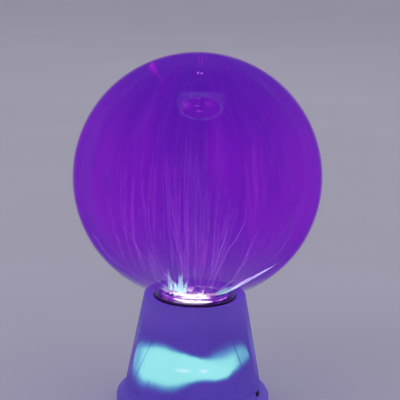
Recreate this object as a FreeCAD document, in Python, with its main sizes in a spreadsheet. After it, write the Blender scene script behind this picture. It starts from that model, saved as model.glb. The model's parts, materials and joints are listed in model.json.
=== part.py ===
"""Plasma globe: a sealed glass ball with a high-voltage electrode in its neck, on a tapered, lit base.

Frame: millimetres, +Z up, origin on the axis at the table (underside of the rubber feet).
The front is -Y and the right-hand side is +X.
Every size that drives the model is a cell of the spreadsheet "sizes"; the objects are bound to those cells.
"""
import FreeCAD, Part
import math
import operator
import os
import Sketcher

DOC = FreeCAD.newDocument("plasma_globe")
SHEET = DOC.addObject("Spreadsheet::Sheet", "sizes")
PARTS = []

# ---------------------------------------------------------------- driving dimensions (mm, degrees)
DRIVING = {
    # glass
    "globe_diameter": 200.0,
    "globe_centre_height": 198.0,
    "glass_wall": 1.8,
    "neck_diameter": 58.0,
    "neck_bend_radius": 2.5,
    "neck_end_height": 80.0,
    "dome_radius": 70.0,
    "dome_top_height": 98.5,
    "stem_wall": 1.5,
    "stem_diameter": 51.0,
    "exhaust_diameter": 6.0,
    "exhaust_bore": 3.6,
    "exhaust_tip_height": 77.5,
    # tapered shell
    "shell_top_height": 101.0,
    "shell_top_diameter": 83.0,
    "shell_bottom_height": 19.5,
    "shell_bottom_diameter": 114.0,
    "shell_wall": 3.0,
    "shell_rim_round": 1.2,
    "seat_height": 98.7,
    "seat_diameter": 68.8,
    "seat_hole": 60.0,
    # plinth and cover
    "plinth_diameter": 127.0,
    "plinth_wall": 3.1,
    "plinth_shoulder_height": 13.0,
    "plinth_shoulder_radius": 7.5,
    "plinth_ledge": 3.0,
    "plinth_ledge_diameter": 103.6,
    "underside_height": 2.5,
    "cover_thickness": 2.5,
    "cover_diameter": 120.2,
    "foot_diameter": 12.8,
    "foot_circle": 88.0,
    "foot_recess": 1.0,
    # trim at the neck
    "ring_diameter": 66.6,
    "ring_bore": 58.2,
    "gasket_diameter": 67.8,
    "gasket_thickness": 0.9,
    # fasteners
    "screw_shank": 2.4,
    "screw_head": 5.6,
    "screw_head_height": 1.8,
    "clearance_hole": 3.2,
    "pilot_hole": 2.5,
    "boss_diameter": 6.4,
    "clamp_boss_circle": 71.0,
    "shell_boss_circle": 95.0,
    "cover_boss_circle": 111.6,
    # clamp and electrode
    "clamp_height": 75.5,
    "clamp_thickness": 3.3,
    "clamp_diameter": 78.4,
    "pad_thickness": 1.2,
    "electrode_gap": 0.3,
    "electrode_thickness": 0.8,
    "electrode_diameter": 42.0,
    "stud_offset": 14.0,
    # circuit board
    "board_length": 72.0,
    "board_width": 56.0,
    "board_thickness": 1.6,
    "board_height": 11.0,
    "board_hole_inset": 4.5,
    # lamp boards
    "lamp_height": 51.6,
    "lamp_board_width": 28.0,
    "lamp_board_height": 12.0,
    "lamp_board_face": 36.0,
    "sleeve_bottom_height": 37.5,
    "sleeve_top_height": 74.0,
    "sleeve_gap": 1.5,
    "sleeve_wall": 1.0,
    # controls
    "switch_angle": -19.0,
    "switch_height": 21.8,
    "switch_travel": 4.4,
    "switch_face": 51.5,
    "slot_length": 8.4,
    "slot_height": 3.8,
    "jack_height": 30.0,
    "jack_face": 53.4,
    "jack_barrel": 7.9,
    "mic_angle": 55.0,
}


OPERATIONS = {"+": operator.add, "-": operator.sub, "*": operator.mul, "/": operator.truediv}


class Size:
    """A length with its value and the spreadsheet expression that gives it."""

    def __init__(self, value, text):
        self.value = value
        self.text = text

    def __add__(self, other):
        return combined(self, "+", other)

    def __radd__(self, other):
        return combined(other, "+", self)

    def __sub__(self, other):
        return combined(self, "-", other)

    def __rsub__(self, other):
        return combined(other, "-", self)

    def __mul__(self, other):
        return combined(self, "*", other)

    def __rmul__(self, other):
        return combined(other, "*", self)

    def __truediv__(self, other):
        return combined(self, "/", other)

    def __neg__(self):
        return self * -1


def of(x):
    """x as a Size, whether it is one already or a plain number."""
    return x if isinstance(x, Size) else Size(float(x), f"{float(x):.6f}")


def combined(a, sign, b):
    a, b = of(a), of(b)
    return Size(OPERATIONS[sign](a.value, b.value), f"({a.text} {sign} {b.text})")


def root(x):
    return Size(math.sqrt(x.value), f"sqrt({x.text})")


class Driving:
    """d.name is the Size of that spreadsheet cell."""

    def __getattr__(self, name):
        return Size(DRIVING[name], f"sizes.{name}")


d = Driving()


def fill_sheet():
    for row, (name, value) in enumerate(DRIVING.items(), start=1):
        SHEET.set(f"A{row}", name)
        SHEET.set(f"B{row}", str(value))
        SHEET.setAlias(f"B{row}", name)
    DOC.recompute()


# ---------------------------------------------------------------- drawing helpers
def bind(item, prop, value):
    item.setExpression(prop, of(value).text)


def move(item, x=0, y=0, z=0):
    for axis, value in zip("xyz", (x, y, z)):
        bind(item, f"Placement.Base.{axis}", value)
    return item


def aim(item, axis, degrees):
    """Turns an item about its own origin; a Size angle stays bound to its cell."""
    item.Placement = FreeCAD.Placement(item.Placement.Base, FreeCAD.Rotation(FreeCAD.Vector(*axis), of(degrees).value))
    if isinstance(degrees, Size):
        bind(item, "Placement.Rotation.Angle", degrees)
    return item


def polar(radius, degrees):
    turn = math.radians(degrees)
    return of(radius) * math.cos(turn), of(radius) * math.sin(turn)


def box(name, x, y, z, long, wide, high):
    """A block from its lowest corner."""
    item = DOC.addObject("Part::Box", name)
    for prop, value in (("Length", long), ("Width", wide), ("Height", high)):
        bind(item, prop, value)
    return move(item, x, y, z)


def centred_box(name, x, y, z, long, wide, high):
    """A block centred in X and Y, standing on z."""
    return box(name, of(x) - of(long) / 2, of(y) - of(wide) / 2, z, long, wide, high)


def rod(name, radius, high, x=0, y=0, z=0, along="z"):
    """A cylinder from the centre of its first face, along +x, +y or +z."""
    item = DOC.addObject("Part::Cylinder", name)
    bind(item, "Radius", radius)
    bind(item, "Height", high)
    if along == "x":
        aim(item, (0, 1, 0), 90)
    if along == "y":
        aim(item, (1, 0, 0), -90)
    return move(item, x, y, z)


def joined(name, *items):
    item = DOC.addObject("Part::MultiFuse", name)
    item.Shapes = list(items)
    return item


def cut(name, base, *tools):
    item = DOC.addObject("Part::Cut", name)
    item.Base = base
    item.Tool = tools[0] if len(tools) == 1 else joined(name + "_tools", *tools)
    return item


def group(name, items):
    item = DOC.addObject("Part::Compound", name)
    item.Links = list(items)
    return item


def part(item, label):
    """Names an object as one of the separate pieces."""
    item.Label = label
    PARTS.append(item)
    return item


def arc_between(p, q, radius):
    """The arc from p to q: a positive radius has its centre left of the way from p to q."""
    way = q - p
    half = way.Length / 2
    side = FreeCAD.Vector(-way.y, way.x, 0).normalize() * math.copysign(1, radius)
    centre = p + way * 0.5 + side * math.sqrt(max(radius * radius - half * half, 0))
    circle = Part.Circle(centre, FreeCAD.Vector(0, 0, 1), abs(radius))
    first, last = (p, q) if radius > 0 else (q, p)
    start = math.atan2(first.y - centre.y, first.x - centre.x)
    end = math.atan2(last.y - centre.y, last.x - centre.x)
    return Part.ArcOfCircle(circle, start, end)


def outline(sketch, corners):
    """Draws a closed outline. A corner is (x, y) or (x, y, radius of the arc that leaves it)."""
    points = [FreeCAD.Vector(of(c[0]).value, of(c[1]).value, 0) for c in corners]
    rules = []
    bound = []
    ends = []
    for i, corner in enumerate(corners):
        p, q = points[i], points[(i + 1) % len(points)]
        if len(corner) == 2:
            sketch.addGeometry(Part.LineSegment(p, q), False)
            ends.append((1, 2))
            continue
        radius = of(corner[2])
        sketch.addGeometry(arc_between(p, q, radius.value), False)
        ends.append((1, 2) if radius.value > 0 else (2, 1))
        rules.append(Sketcher.Constraint("Radius", i, abs(radius.value)))
        bound.append(radius if radius.value > 0 else -radius)
    for i, corner in enumerate(corners):
        after = (i + 1) % len(corners)
        first, last = ends[i][0], ends[i][1]
        rules.append(Sketcher.Constraint("Coincident", i, last, after, ends[after][0]))
        bound.append(None)
        for kind, value, axis in (("DistanceX", corner[0], -2), ("DistanceY", corner[1], -1)):
            if abs(of(value).value) < 1e-9:
                rules.append(Sketcher.Constraint("PointOnObject", i, first, axis))
                bound.append(None)
            else:
                rules.append(Sketcher.Constraint(kind, i, first, of(value).value))
                bound.append(of(value))
    sketch.addConstraint(rules)
    for i, value in enumerate(bound):
        if value is not None:
            sketch.setExpression(f"Constraints[{i}]", value.text)


def new_sketch(body, name, role, lift=0):
    plane = next(f for f in body.Origin.OriginFeatures if f.Role == role)
    sketch = body.newObject("Sketcher::SketchObject", name)
    sketch.AttachmentSupport = [(plane, "")]
    sketch.MapMode = "FlatFace"
    if of(lift).value:
        bind(sketch, "AttachmentOffset.Base.z", lift)
    return sketch


def turned(name, corners):
    """A body of revolution about Z from an outline of (radius, height) corners."""
    body = DOC.addObject("PartDesign::Body", name)
    sketch = new_sketch(body, name + "_outline", "XZ_Plane")
    outline(sketch, corners)
    turn = body.newObject("PartDesign::Revolution", name + "_turn")
    turn.Profile = sketch
    turn.ReferenceAxis = (sketch, ["V_Axis"])
    turn.Angle = 360.0
    return body


def extruded(name, corners, thickness, role="XZ_Plane", lift=0):
    """A body padded from an outline; on XZ_Plane it grows towards -Y, on XY_Plane towards +Z."""
    body = DOC.addObject("PartDesign::Body", name)
    sketch = new_sketch(body, name + "_outline", role, lift)
    outline(sketch, corners)
    pad = body.newObject("PartDesign::Pad", name + "_pad")
    pad.Profile = sketch
    bind(pad, "Length", thickness)
    return body


def rectangle(long, high, radius, x=0, y=0):
    """Corners of a rectangle with round corners, centred on (x, y)."""
    a, b, r = of(long) / 2, of(high) / 2, of(radius)
    x, y = of(x), of(y)
    return [
        (x - a + r, y - b), (x + a - r, y - b, r), (x + a, y - b + r), (x + a, y + b - r, r),
        (x + a - r, y + b), (x - a + r, y + b, r), (x - a, y + b - r), (x - a, y - b + r, r),
    ]


def screw(name, x, y, z, length, points_up):
    """A cross-head screw whose head bears on height z."""
    radius, head = d.screw_head / 2, d.screw_head_height
    shank = rod(name + "_shank", d.screw_shank / 2, length)
    cap = rod(name + "_head", radius, head, z=-head)
    slots = [
        centred_box(name + "_slot_a", 0, 0, -head - 0.2, radius * 1.2, 0.8, head * 0.6),
        centred_box(name + "_slot_b", 0, 0, -head - 0.2, 0.8, radius * 1.2, head * 0.6),
    ]
    item = cut(name, joined(name + "_body", shank, cap), *slots)
    if not points_up:
        aim(item, (1, 0, 0), 180)
    return move(item, x, y, z)


def rounded_path(points):
    """Straight runs joined by tangent arcs, each as large as its two runs allow."""
    points = [FreeCAD.Vector(*p) for p in points]
    edges = []
    start = points[0]
    for before, corner, after in zip(points, points[1:], points[2:]):
        way_in, way_out = (corner - before), (after - corner)
        room = 0.45 * min(way_in.Length, way_out.Length)
        way_in.normalize()
        way_out.normalize()
        half_turn = way_in.getAngle(way_out) / 2
        radius = room / math.tan(half_turn)
        inward = (way_out - way_in).normalize()
        middle = corner + inward * radius * (1 / math.cos(half_turn) - 1)
        enter, leave = corner - way_in * room, corner + way_out * room
        edges.append(Part.LineSegment(start, enter).toShape())
        edges.append(Part.Arc(enter, middle, leave).toShape())
        start = leave
    edges.append(Part.LineSegment(start, points[-1]).toShape())
    return Part.Wire(edges)


def lead_shape(points, radius):
    """The solid of an insulated wire along a rounded path."""
    path = rounded_path(points)
    way = FreeCAD.Vector(*points[1]) - FreeCAD.Vector(*points[0])
    section = Part.Wire(Part.Circle(FreeCAD.Vector(*points[0]), way, radius).toShape())
    solid = path.makePipeShell([section], True, False)
    expected = math.pi * radius**2 * path.Length
    if abs(solid.Volume / expected - 1) > 0.02:
        raise RuntimeError("a wire's volume is off")
    return solid


def leads(label, routes, radius):
    item = DOC.addObject("Part::Feature", label + "_solid")
    shapes = [lead_shape(points, radius) for points in routes]
    item.Shape = shapes[0] if len(shapes) == 1 else Part.makeCompound(shapes)
    return part(item, label)


# ---------------------------------------------------------------- shared geometry
def globe_places():
    """Radii and tangent points that the ball, its neck bend and the trim share."""
    outer, wall, bend = d.globe_diameter / 2, d.glass_wall, d.neck_bend_radius
    neck = d.neck_diameter / 2
    bend_r = neck + bend
    reach = outer + bend
    drop = root(reach * reach - bend_r * bend_r)
    return outer, wall, bend, neck, bend_r, reach, drop


def shell_radius(height):
    """Outer radius of the tapered shell at a height."""
    top, bottom = d.shell_top_diameter / 2, d.shell_bottom_diameter / 2
    slope = (bottom - top) / (d.shell_top_height - d.shell_bottom_height)
    return bottom - slope * (of(height) - d.shell_bottom_height)


# ---------------------------------------------------------------- glass and electrode
def glass_globe():
    """The blown ball and its neck, one wall thick, open at the neck's lower end."""
    outer, wall, bend, neck, bend_r, reach, drop = globe_places()
    centre = d.globe_centre_height
    inner = outer - wall
    return part(
        turned("ball", [
            (0, centre + outer, -outer),
            (bend_r * outer / reach, centre - drop * outer / reach, bend),
            (neck, centre - drop),
            (neck, d.neck_end_height),
            (neck - wall, d.neck_end_height),
            (neck - wall, centre - drop, -(bend + wall)),
            (bend_r * inner / reach, centre - drop * inner / reach, inner),
            (0, centre + inner),
        ]),
        "glass_globe",
    )


def glass_stem():
    """The re-entrant dome that closes the neck, with its sealed exhaust tube hanging from the middle."""
    wall, outer = d.stem_wall, d.dome_radius
    inner = outer - wall
    centre = d.dome_top_height - outer
    skirt, tube, bore = d.stem_diameter / 2, d.exhaust_diameter / 2, d.exhaust_bore / 2
    shoulder = skirt - 3.0
    bottom = d.neck_end_height
    foot = d.neck_diameter / 2 - d.glass_wall - 0.05
    tip = d.exhaust_tip_height

    def on(radius, r):
        return centre + root(of(radius) * radius - of(r) * r)

    return part(
        turned("stem", [
            (bore, on(outer, bore), -outer),
            (shoulder, on(outer, shoulder), -3.2),
            (skirt, on(outer, shoulder) - 3.2),
            (skirt, bottom + 3.2, 1.7),
            (foot, bottom + 1.6),
            (foot, bottom),
            (skirt - wall, bottom),
            (skirt - wall, on(outer, shoulder) - 3.2, 2.2),
            (shoulder - 0.6, on(inner, shoulder - 0.6), inner),
            (tube, on(inner, tube)),
            (tube, tip + tube, -tube),
            (0, tip),
            (0, tip + tube - bore, bore),
            (bore, tip + tube),
        ]),
        "glass_stem",
    )


def electrode():
    """The spun dish close under the dome, its terminal stud and the moulded carrier below."""
    centre = d.dome_top_height - d.dome_radius
    top = d.dome_radius - d.stem_wall - d.electrode_gap
    under = top - d.electrode_thickness
    hole, rim = of(3.8), d.electrode_diameter / 2

    def on(radius, r):
        return centre + root(radius * radius - of(r) * r)

    part(
        turned("dish", [
            (hole, on(top, hole), -top),
            (rim, on(top, rim)),
            (rim, on(under, rim), under),
            (hole, on(under, hole)),
        ]),
        "electrode_dish",
    )
    stud_top = on(under, d.stud_offset + 2.0)
    stud = joined(
        "stud",
        rod("stud_shank", 1.5, 9.0, d.stud_offset, 0, stud_top - 9.0),
        rod("stud_flange", 2.0, 1.0, d.stud_offset, 0, stud_top - 1.05),
    )
    part(stud, "electrode_stud")
    floor = d.clamp_height + d.clamp_thickness
    outer = d.stem_diameter / 2 - d.stem_wall - 1.3
    lip = on(under, rim)
    cup = turned("cup", [
        (4.2, floor), (outer, floor), (outer, lip), (outer - 2.4, lip), (outer - 2.4, floor + 2.4), (4.2, floor + 2.4),
    ])
    window = rod("cup_window", 5.2, 6.0, d.stud_offset, 0, floor - 1.0)
    part(cut("carrier", cup, window), "electrode_carrier")


def neck_trim():
    """The polished ring around the neck and the rubber gasket under it."""
    bottom = d.seat_height + d.gasket_thickness
    outer, bore = d.ring_diameter / 2, d.ring_bore / 2
    part(
        turned("ring", [
            (bore, bottom),
            (outer - 0.4, bottom, 0.5),
            (outer, bottom + 0.45, 1.4),
            (outer - 0.7, bottom + 1.45),
            (bore, bottom + 1.45),
        ]),
        "neck_ring",
    )
    edge = d.gasket_diameter / 2
    inner = d.neck_diameter / 2 + 0.15
    part(
        turned("gasket", [
            (inner, d.seat_height),
            (edge - 0.3, d.seat_height, 0.35),
            (edge, d.seat_height + 0.3),
            (edge, bottom - 0.3, 0.35),
            (edge - 0.3, bottom),
            (inner, bottom),
        ]),
        "seat_gasket",
    )


def neck_clamp():
    """The ring that holds the neck from below, its pad and its three screws."""
    low, high = d.clamp_height, d.clamp_height + d.clamp_thickness
    collar = d.neck_diameter / 2 + 1.0
    plate = turned("clamp_turned", [
        (20, low), (d.clamp_diameter / 2, low), (d.clamp_diameter / 2, high), (collar + 2.2, high),
        (collar + 2.2, high + 9.0), (collar, high + 9.0), (collar, high), (20, high),
    ])
    places = [polar(d.clamp_boss_circle / 2, a) for a in (90, 210, 330)]
    holes = [
        rod(f"clamp_hole_{i}", d.clearance_hole / 2, 6.0, x, y, low - 1.0)
        for i, (x, y) in enumerate(places)
    ]
    part(cut("clamp", plate, *holes), "neck_clamp")
    pad = turned("pad", [
        (d.stem_diameter / 2 - d.stem_wall - 0.2, high),
        (d.neck_diameter / 2 + 0.4, high),
        (d.neck_diameter / 2 + 0.4, high + d.pad_thickness),
        (d.stem_diameter / 2 - d.stem_wall - 0.2, high + d.pad_thickness),
    ])
    part(pad, "neck_pad")
    screws = [screw(f"clamp_screw_{i}", x, y, low, 12.0, True) for i, (x, y) in enumerate(places)]
    part(group("clamp_screw_set", screws), "clamp_screws")


# ---------------------------------------------------------------- base
QUARTERS = (45, 135, 225, 315)
SIDES = (0, 90, 180, 270)


def base_shell():
    """The tapered frosted shell with its dished seat, bosses, control openings and pilot holes."""
    wall = d.shell_wall * 1.018
    top, bottom, seat = d.shell_top_height, d.shell_bottom_height, d.seat_height
    roof = seat - d.shell_wall
    side = shell_radius(top - d.shell_rim_round)
    skin = turned("skin", [
        (d.shell_bottom_diameter / 2, bottom),
        (side, top - d.shell_rim_round, 1.3),
        (side - 1.4, top),
        (d.seat_diameter / 2, seat),
        (d.seat_hole / 2, seat),
        (d.seat_hole / 2, roof),
        (shell_radius(roof) - wall - 1.5, roof, -1.8),
        (shell_radius(roof) - wall + 0.25, roof - 1.5),
        (d.shell_bottom_diameter / 2 - wall, bottom),
    ])
    solids = [skin]
    holes = []
    clamp_top = d.clamp_height + d.clamp_thickness
    for i, a in enumerate((90, 210, 330)):
        x, y = polar(d.clamp_boss_circle / 2, a)
        solids.append(rod(f"upper_boss_{i}", d.boss_diameter / 2 - 0.2, roof - clamp_top + 0.5, x, y, clamp_top))
        holes.append(rod(f"upper_pilot_{i}", d.pilot_hole / 2, 14.0, x, y, clamp_top - 1.0))
    for i, a in enumerate(QUARTERS):
        x, y = polar(d.shell_boss_circle / 2, a)
        rise = d.sleeve_bottom_height - bottom
        solids.append(rod(f"lower_boss_{i}", d.boss_diameter / 2, rise, x, y, bottom))
        web_foot = bottom + 3.6
        web = box(f"web_{i}", d.shell_boss_circle / 2, -1.25, web_foot, 5.5, 2.5, d.sleeve_bottom_height - web_foot)
        solids.append(aim(group(f"web_turned_{i}", [web]), (0, 0, 1), a))
        holes.append(rod(f"lower_pilot_{i}", d.pilot_hole / 2, 13.0, x, y, bottom - 1.0))
    face = d.switch_face
    pad = box("switch_pad", face, -11, bottom + 0.3, shell_radius(bottom + 6.8) - face - 0.9, 22, 6.5)
    solids.append(aim(group("switch_pad_turned", [pad]), (0, 0, 1), d.switch_angle))
    slot = box(
        "switch_slot", face - 3, -d.slot_length / 2, d.switch_height - d.slot_height / 2,
        12, d.slot_length, d.slot_height,
    )
    pilots = [
        rod(f"switch_pilot_{side_name}", 0.75, 3.2, face - 1.0, offset, d.switch_height + 1.6, "x")
        for side_name, offset in (("left", -8.6), ("right", 8.6))
    ]
    holes.append(aim(group("switch_cuts", [joined("switch_cut_set", slot, *pilots)]), (0, 0, 1), d.switch_angle))
    solids.append(rod("jack_pad", 7.0, 5.2, 0, d.jack_face - 4.5, d.jack_height, "y"))
    holes.append(rod("jack_flat", 7.0, 8.0, 0, d.jack_face, d.jack_height, "y"))
    holes.append(rod("jack_hole", d.jack_barrel / 2 + 0.1, 12.0, 0, d.jack_face - 8.0, d.jack_height, "y"))
    mic_wall = shell_radius(d.jack_height)
    mic_cup = rod("mic_cup", 5.0, 5.2, mic_wall - 6.6, 0, d.jack_height, "x")
    solids.append(aim(group("mic_cup_turned", [mic_cup]), (0, 0, 1), d.mic_angle))
    mic_cuts = [rod("mic_well", 3.7, 6.0, mic_wall - 9.0, 0, d.jack_height, "x")]
    for i, (dy, dz) in enumerate(((0, 0), (1.9, 0), (-1.9, 0), (0, 1.9), (0, -1.9))):
        mic_cuts.append(rod(f"mic_hole_{i}", 0.6, 9.0, mic_wall - 7.0, dy, d.jack_height + dz, "x"))
    holes.append(aim(group("mic_cuts", [joined("mic_cut_set", *mic_cuts)]), (0, 0, 1), d.mic_angle))
    part(cut("shell", joined("shell_solid", *solids), *holes), "base_shell")


def base_plinth():
    """The flared foot ring that the shell stands in."""
    outer, low, top = d.plinth_diameter / 2, d.underside_height, d.shell_bottom_height
    inner, ledge = outer - d.plinth_wall, d.plinth_ledge_diameter / 2
    rib = d.shell_bottom_diameter / 2 - d.shell_wall * 1.018 - 0.3
    rib_top = shell_radius(top + 3.0) - d.shell_wall * 1.018 - 0.3
    shoulder = d.plinth_shoulder_height
    ring = turned("plinth_turned", [
        (outer - 0.6, low, 0.6),
        (outer, low + 0.6),
        (outer, shoulder, d.plinth_shoulder_radius),
        (d.shell_bottom_diameter / 2 + 0.2, top),
        (rib, top),
        (rib_top, top + 3.0),
        (ledge, top + 3.0),
        (ledge, top - d.plinth_ledge),
        (inner - 3.4, top - d.plinth_ledge),
        (inner, top - d.plinth_ledge - 3.9),
        (inner, low),
    ])
    solids = [ring]
    holes = []
    for i, a in enumerate(QUARTERS):
        x, y = polar(d.shell_boss_circle / 2, a)
        solids.append(rod(f"lug_{i}", 4.5, d.plinth_ledge, x, y, top - d.plinth_ledge))
        holes.append(rod(f"lug_hole_{i}", d.clearance_hole / 2, 8.0, x, y, top - d.plinth_ledge - 2.0))
    cover_top = low + d.cover_thickness
    for i, a in enumerate(SIDES):
        x, y = polar(d.cover_boss_circle / 2, a)
        solids.append(rod(f"cover_boss_{i}", d.boss_diameter / 2, top - 2.9 - cover_top, x, y, cover_top))
        holes.append(rod(f"cover_pilot_{i}", d.pilot_hole / 2, 10.0, x, y, cover_top - 1.0))
    notch = box("rib_notch", ledge - 1, -12, top, 4, 24, 5)
    holes.append(aim(group("rib_notch_turned", [notch]), (0, 0, 1), d.switch_angle))
    part(cut("plinth", joined("plinth_solid", *solids), *holes), "base_plinth")
    places = [polar(d.shell_boss_circle / 2, a) for a in QUARTERS]
    screws = [
        screw(f"shell_screw_{i}", x, y, top - d.plinth_ledge, 12.0, True) for i, (x, y) in enumerate(places)
    ]
    part(group("shell_screw_set", screws), "shell_screws")


def board_corners():
    x = d.board_length / 2 - d.board_hole_inset
    y = d.board_width / 2 - d.board_hole_inset
    return [(x, y), (-x, y), (-x, -y), (x, -y)]


def bottom_cover():
    """The round cover with cooling slots, board posts, foot recesses and screw holes."""
    low, thick = d.underside_height, d.cover_thickness
    top = low + thick
    radius = d.cover_diameter / 2
    disc = turned("cover_turned", [
        (0, low), (radius - 0.5, low), (radius, low + 0.5), (radius, top), (0, top),
    ])
    solids = [disc]
    holes = []
    for i, (x, y) in enumerate(board_corners()):
        solids.append(rod(f"post_{i}", 3.0, d.board_height - top, x, y, top))
        holes.append(rod(f"post_pilot_{i}", d.pilot_hole / 2, 9.0, x, y, low + 1.2))
    for i, a in enumerate(QUARTERS):
        x, y = polar(d.foot_circle / 2, a)
        holes.append(rod(f"foot_recess_{i}", d.foot_diameter / 2 + 0.2, d.foot_recess + 1.0, x, y, low - 1.0))
    for i, a in enumerate(SIDES):
        x, y = polar(d.cover_boss_circle / 2, a)
        holes.append(rod(f"cover_hole_{i}", d.clearance_hole / 2, 6.0, x, y, low - 1.0))
        holes.append(rod(f"cover_sink_{i}", d.screw_head / 2 + 0.3, 2.4, x, y, low - 1.0))
    for i in range(5):
        holes.append(centred_box(f"vent_{i}", 0, 6 * (i - 2), low - 1.0, 34, 2.2, 6.0))
    part(cut("cover", joined("cover_solid", *solids), *holes), "bottom_cover")
    screws = [
        screw(f"cover_screw_{i}", *polar(d.cover_boss_circle / 2, a), low + 1.4, 8.5, True)
        for i, a in enumerate(SIDES)
    ]
    part(group("cover_screw_set", screws), "cover_screws")
    for i, a in enumerate(QUARTERS):
        x, y = polar(d.foot_circle / 2, a)
        r = d.foot_diameter / 2
        foot = turned(f"foot_body_{i}", [
            (0, 0), (r - 1.0, 0, 1.2), (r, 0.9), (r, low + d.foot_recess), (0, low + d.foot_recess),
        ])
        part(move(foot, x, y, 0), ("foot_rear_right", "foot_rear_left", "foot_front_left", "foot_front_right")[i])


# ---------------------------------------------------------------- circuit board
def driver_board():
    top = d.board_height + d.board_thickness
    board = extruded("board_pad", rectangle(d.board_length, d.board_width, 2.0), d.board_thickness,
                     "XY_Plane", d.board_height)
    holes = [
        rod(f"board_hole_{i}", d.clearance_hole / 2, 4.0, x, y, d.board_height - 1.0)
        for i, (x, y) in enumerate(board_corners())
    ]
    part(cut("board", board, *holes), "driver_board")
    screws = [screw(f"board_screw_{i}", x, y, top, 6.5, False) for i, (x, y) in enumerate(board_corners())]
    part(group("board_screw_set", screws), "board_screws")


def flyback(top):
    """Ferrite frame in two halves, spool, high-voltage winding and primary winding."""
    x, y, z = -6.0, 8.0, top + 1.4
    wide, limb, deep, high = 32.0, 8.0, 10.0, 36.0
    halves = []
    for name, low in (("lower", z), ("upper", z + high / 2 + 0.1)):
        block = centred_box(f"core_{name}_block", x, y, low, wide, deep, high / 2 - 0.1)
        window_low = low + (limb if name == "lower" else -1)
        window = centred_box(f"core_{name}_window", x, y, window_low, wide - 2 * limb, deep + 2, high / 2 - limb + 1)
        halves.append(cut(f"core_{name}", block, window))
    part(group("core_set", halves), "transformer_core")
    coil_x, coil_low, coil_high = x - wide / 2 + limb / 2, z + limb + 0.3, high - 2 * limb - 0.6
    tube = rod("spool_tube", 7.6, coil_high, coil_x, y, coil_low)
    flanges = [
        rod("spool_flange_low", 14.0, 1.3, coil_x, y, coil_low),
        rod("spool_flange_high", 14.0, 1.3, coil_x, y, coil_low + coil_high - 1.3),
    ]
    bore = centred_box("spool_bore", coil_x, y, coil_low - 1, limb + 0.4, deep + 0.4, coil_high + 2)
    part(cut("spool", joined("spool_solid", tube, *flanges), bore), "transformer_spool")
    winding = rod("winding_block", 13.2, coil_high - 2.8, coil_x, y, coil_low + 1.4)
    well = rod("winding_bore", 7.7, coil_high, coil_x, y, coil_low)
    part(cut("winding", winding, well), "secondary_winding")
    primary_x = x + wide / 2 - limb / 2
    outer = centred_box("primary_block", primary_x, y, coil_low + 3, limb + 3.4, deep + 3.4, coil_high - 6)
    hole = centred_box("primary_hole", primary_x, y, coil_low, limb + 0.3, deep + 0.3, coil_high)
    part(cut("primary", outer, hole), "primary_winding")
    for_feet = centred_box("core_feet_block", x, y, top, wide + 4, deep + 4, 1.4)
    part(for_feet, "transformer_mount")
    return coil_x, y, coil_low + coil_high


def heat_sink(top):
    """Finned aluminium block with the switching transistor screwed to it."""
    x, y = 16.0, -20.0
    plate = centred_box("sink_plate", x, y, top, 22.0, 3.0, 24.0)
    fins = [centred_box(f"sink_fin_{i}", x - 10.2 + 5.1 * i, y - 4.4, top, 1.6, 6.2, 24.0) for i in range(5)]
    thread = rod("sink_thread", 1.3, 5.0, x, y - 1.2, top + 16.0, "y")
    part(cut("sink", joined("sink_solid", plate, *fins), thread), "heat_sink")
    tab = centred_box("transistor_tab", x, y + 2.15, top + 4.0, 10.0, 1.3, 15.4)
    body = centred_box("transistor_body", x, y + 3.75, top + 4.0, 10.0, 4.5, 9.0)
    legs = [centred_box(f"transistor_leg_{i}", x + 2.54 * (i - 1), y + 4.2, top, 0.9, 0.6, 5.0) for i in range(3)]
    bolt_hole = rod("transistor_hole", 1.7, 5.0, x, y + 0.5, top + 16.0, "y")
    part(cut("transistor", joined("transistor_solid", tab, body, *legs), bolt_hole), "power_transistor")
    shank = rod("sink_screw_shank", 1.2, 5.2, x, y - 0.8, top + 16.0, "y")
    head = rod("sink_screw_head", 2.6, 1.6, x, y + 2.85, top + 16.0, "y")
    part(joined("sink_screw", shank, head), "transistor_screw")


def small_components(top):
    cans = []
    for i, (x, y, r, high) in enumerate(((28.0, 14.0, 5.0, 18.0), (28.0, 1.0, 4.0, 13.0), (16.5, 0.5, 3.2, 11.0))):
        can = rod(f"can_{i}", r, high, x, y, top)
        groove_outer = rod(f"can_groove_outer_{i}", r + 1, 0.8, x, y, top + 2.0)
        groove_inner = rod(f"can_groove_inner_{i}", r - 0.5, 0.8, x, y, top + 2.0)
        cans.append(cut(f"can_turned_{i}", can, cut(f"can_groove_{i}", groove_outer, groove_inner)))
    part(group("can_set", cans), "filter_capacitors")
    part(centred_box("film_block", -24.5, -12.0, top, 13.0, 6.0, 11.0), "resonant_capacitor")
    choke = turned("choke_ring", [
        (2.4, top + 1.0), (3.4, top), (4.6, top), (5.6, top + 1.0), (5.6, top + 3.4), (4.6, top + 4.4),
        (3.4, top + 4.4), (2.4, top + 3.4),
    ])
    part(move(choke, -1.5, -22.2, 0), "input_choke")
    chip_x, chip_y = -10.5, -12.8
    chip = centred_box("chip_body", chip_x, chip_y, top + 0.6, 9.6, 6.4, 3.4)
    pins = [
        centred_box(f"chip_pin_{side}_{i}", chip_x + 2.54 * (i - 1.5), chip_y + 3.5 * turn, top, 0.6, 0.8, 2.4)
        for side, turn in (("front", -1), ("rear", 1))
        for i in range(4)
    ]
    part(joined("chip", chip, *pins), "timer_chip")
    resistors = [rod(f"resistor_{i}", 1.2, 6.4, -27.0 + 10.5 * i, -21.5, top + 1.2, "x") for i in range(2)]
    resistors += [rod(f"resistor_{i + 2}", 1.2, 6.4, 8.0, -12.0 + 4.0 * i, top + 1.2, "x") for i in range(2)]
    part(group("resistor_set", resistors), "resistors")


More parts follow.
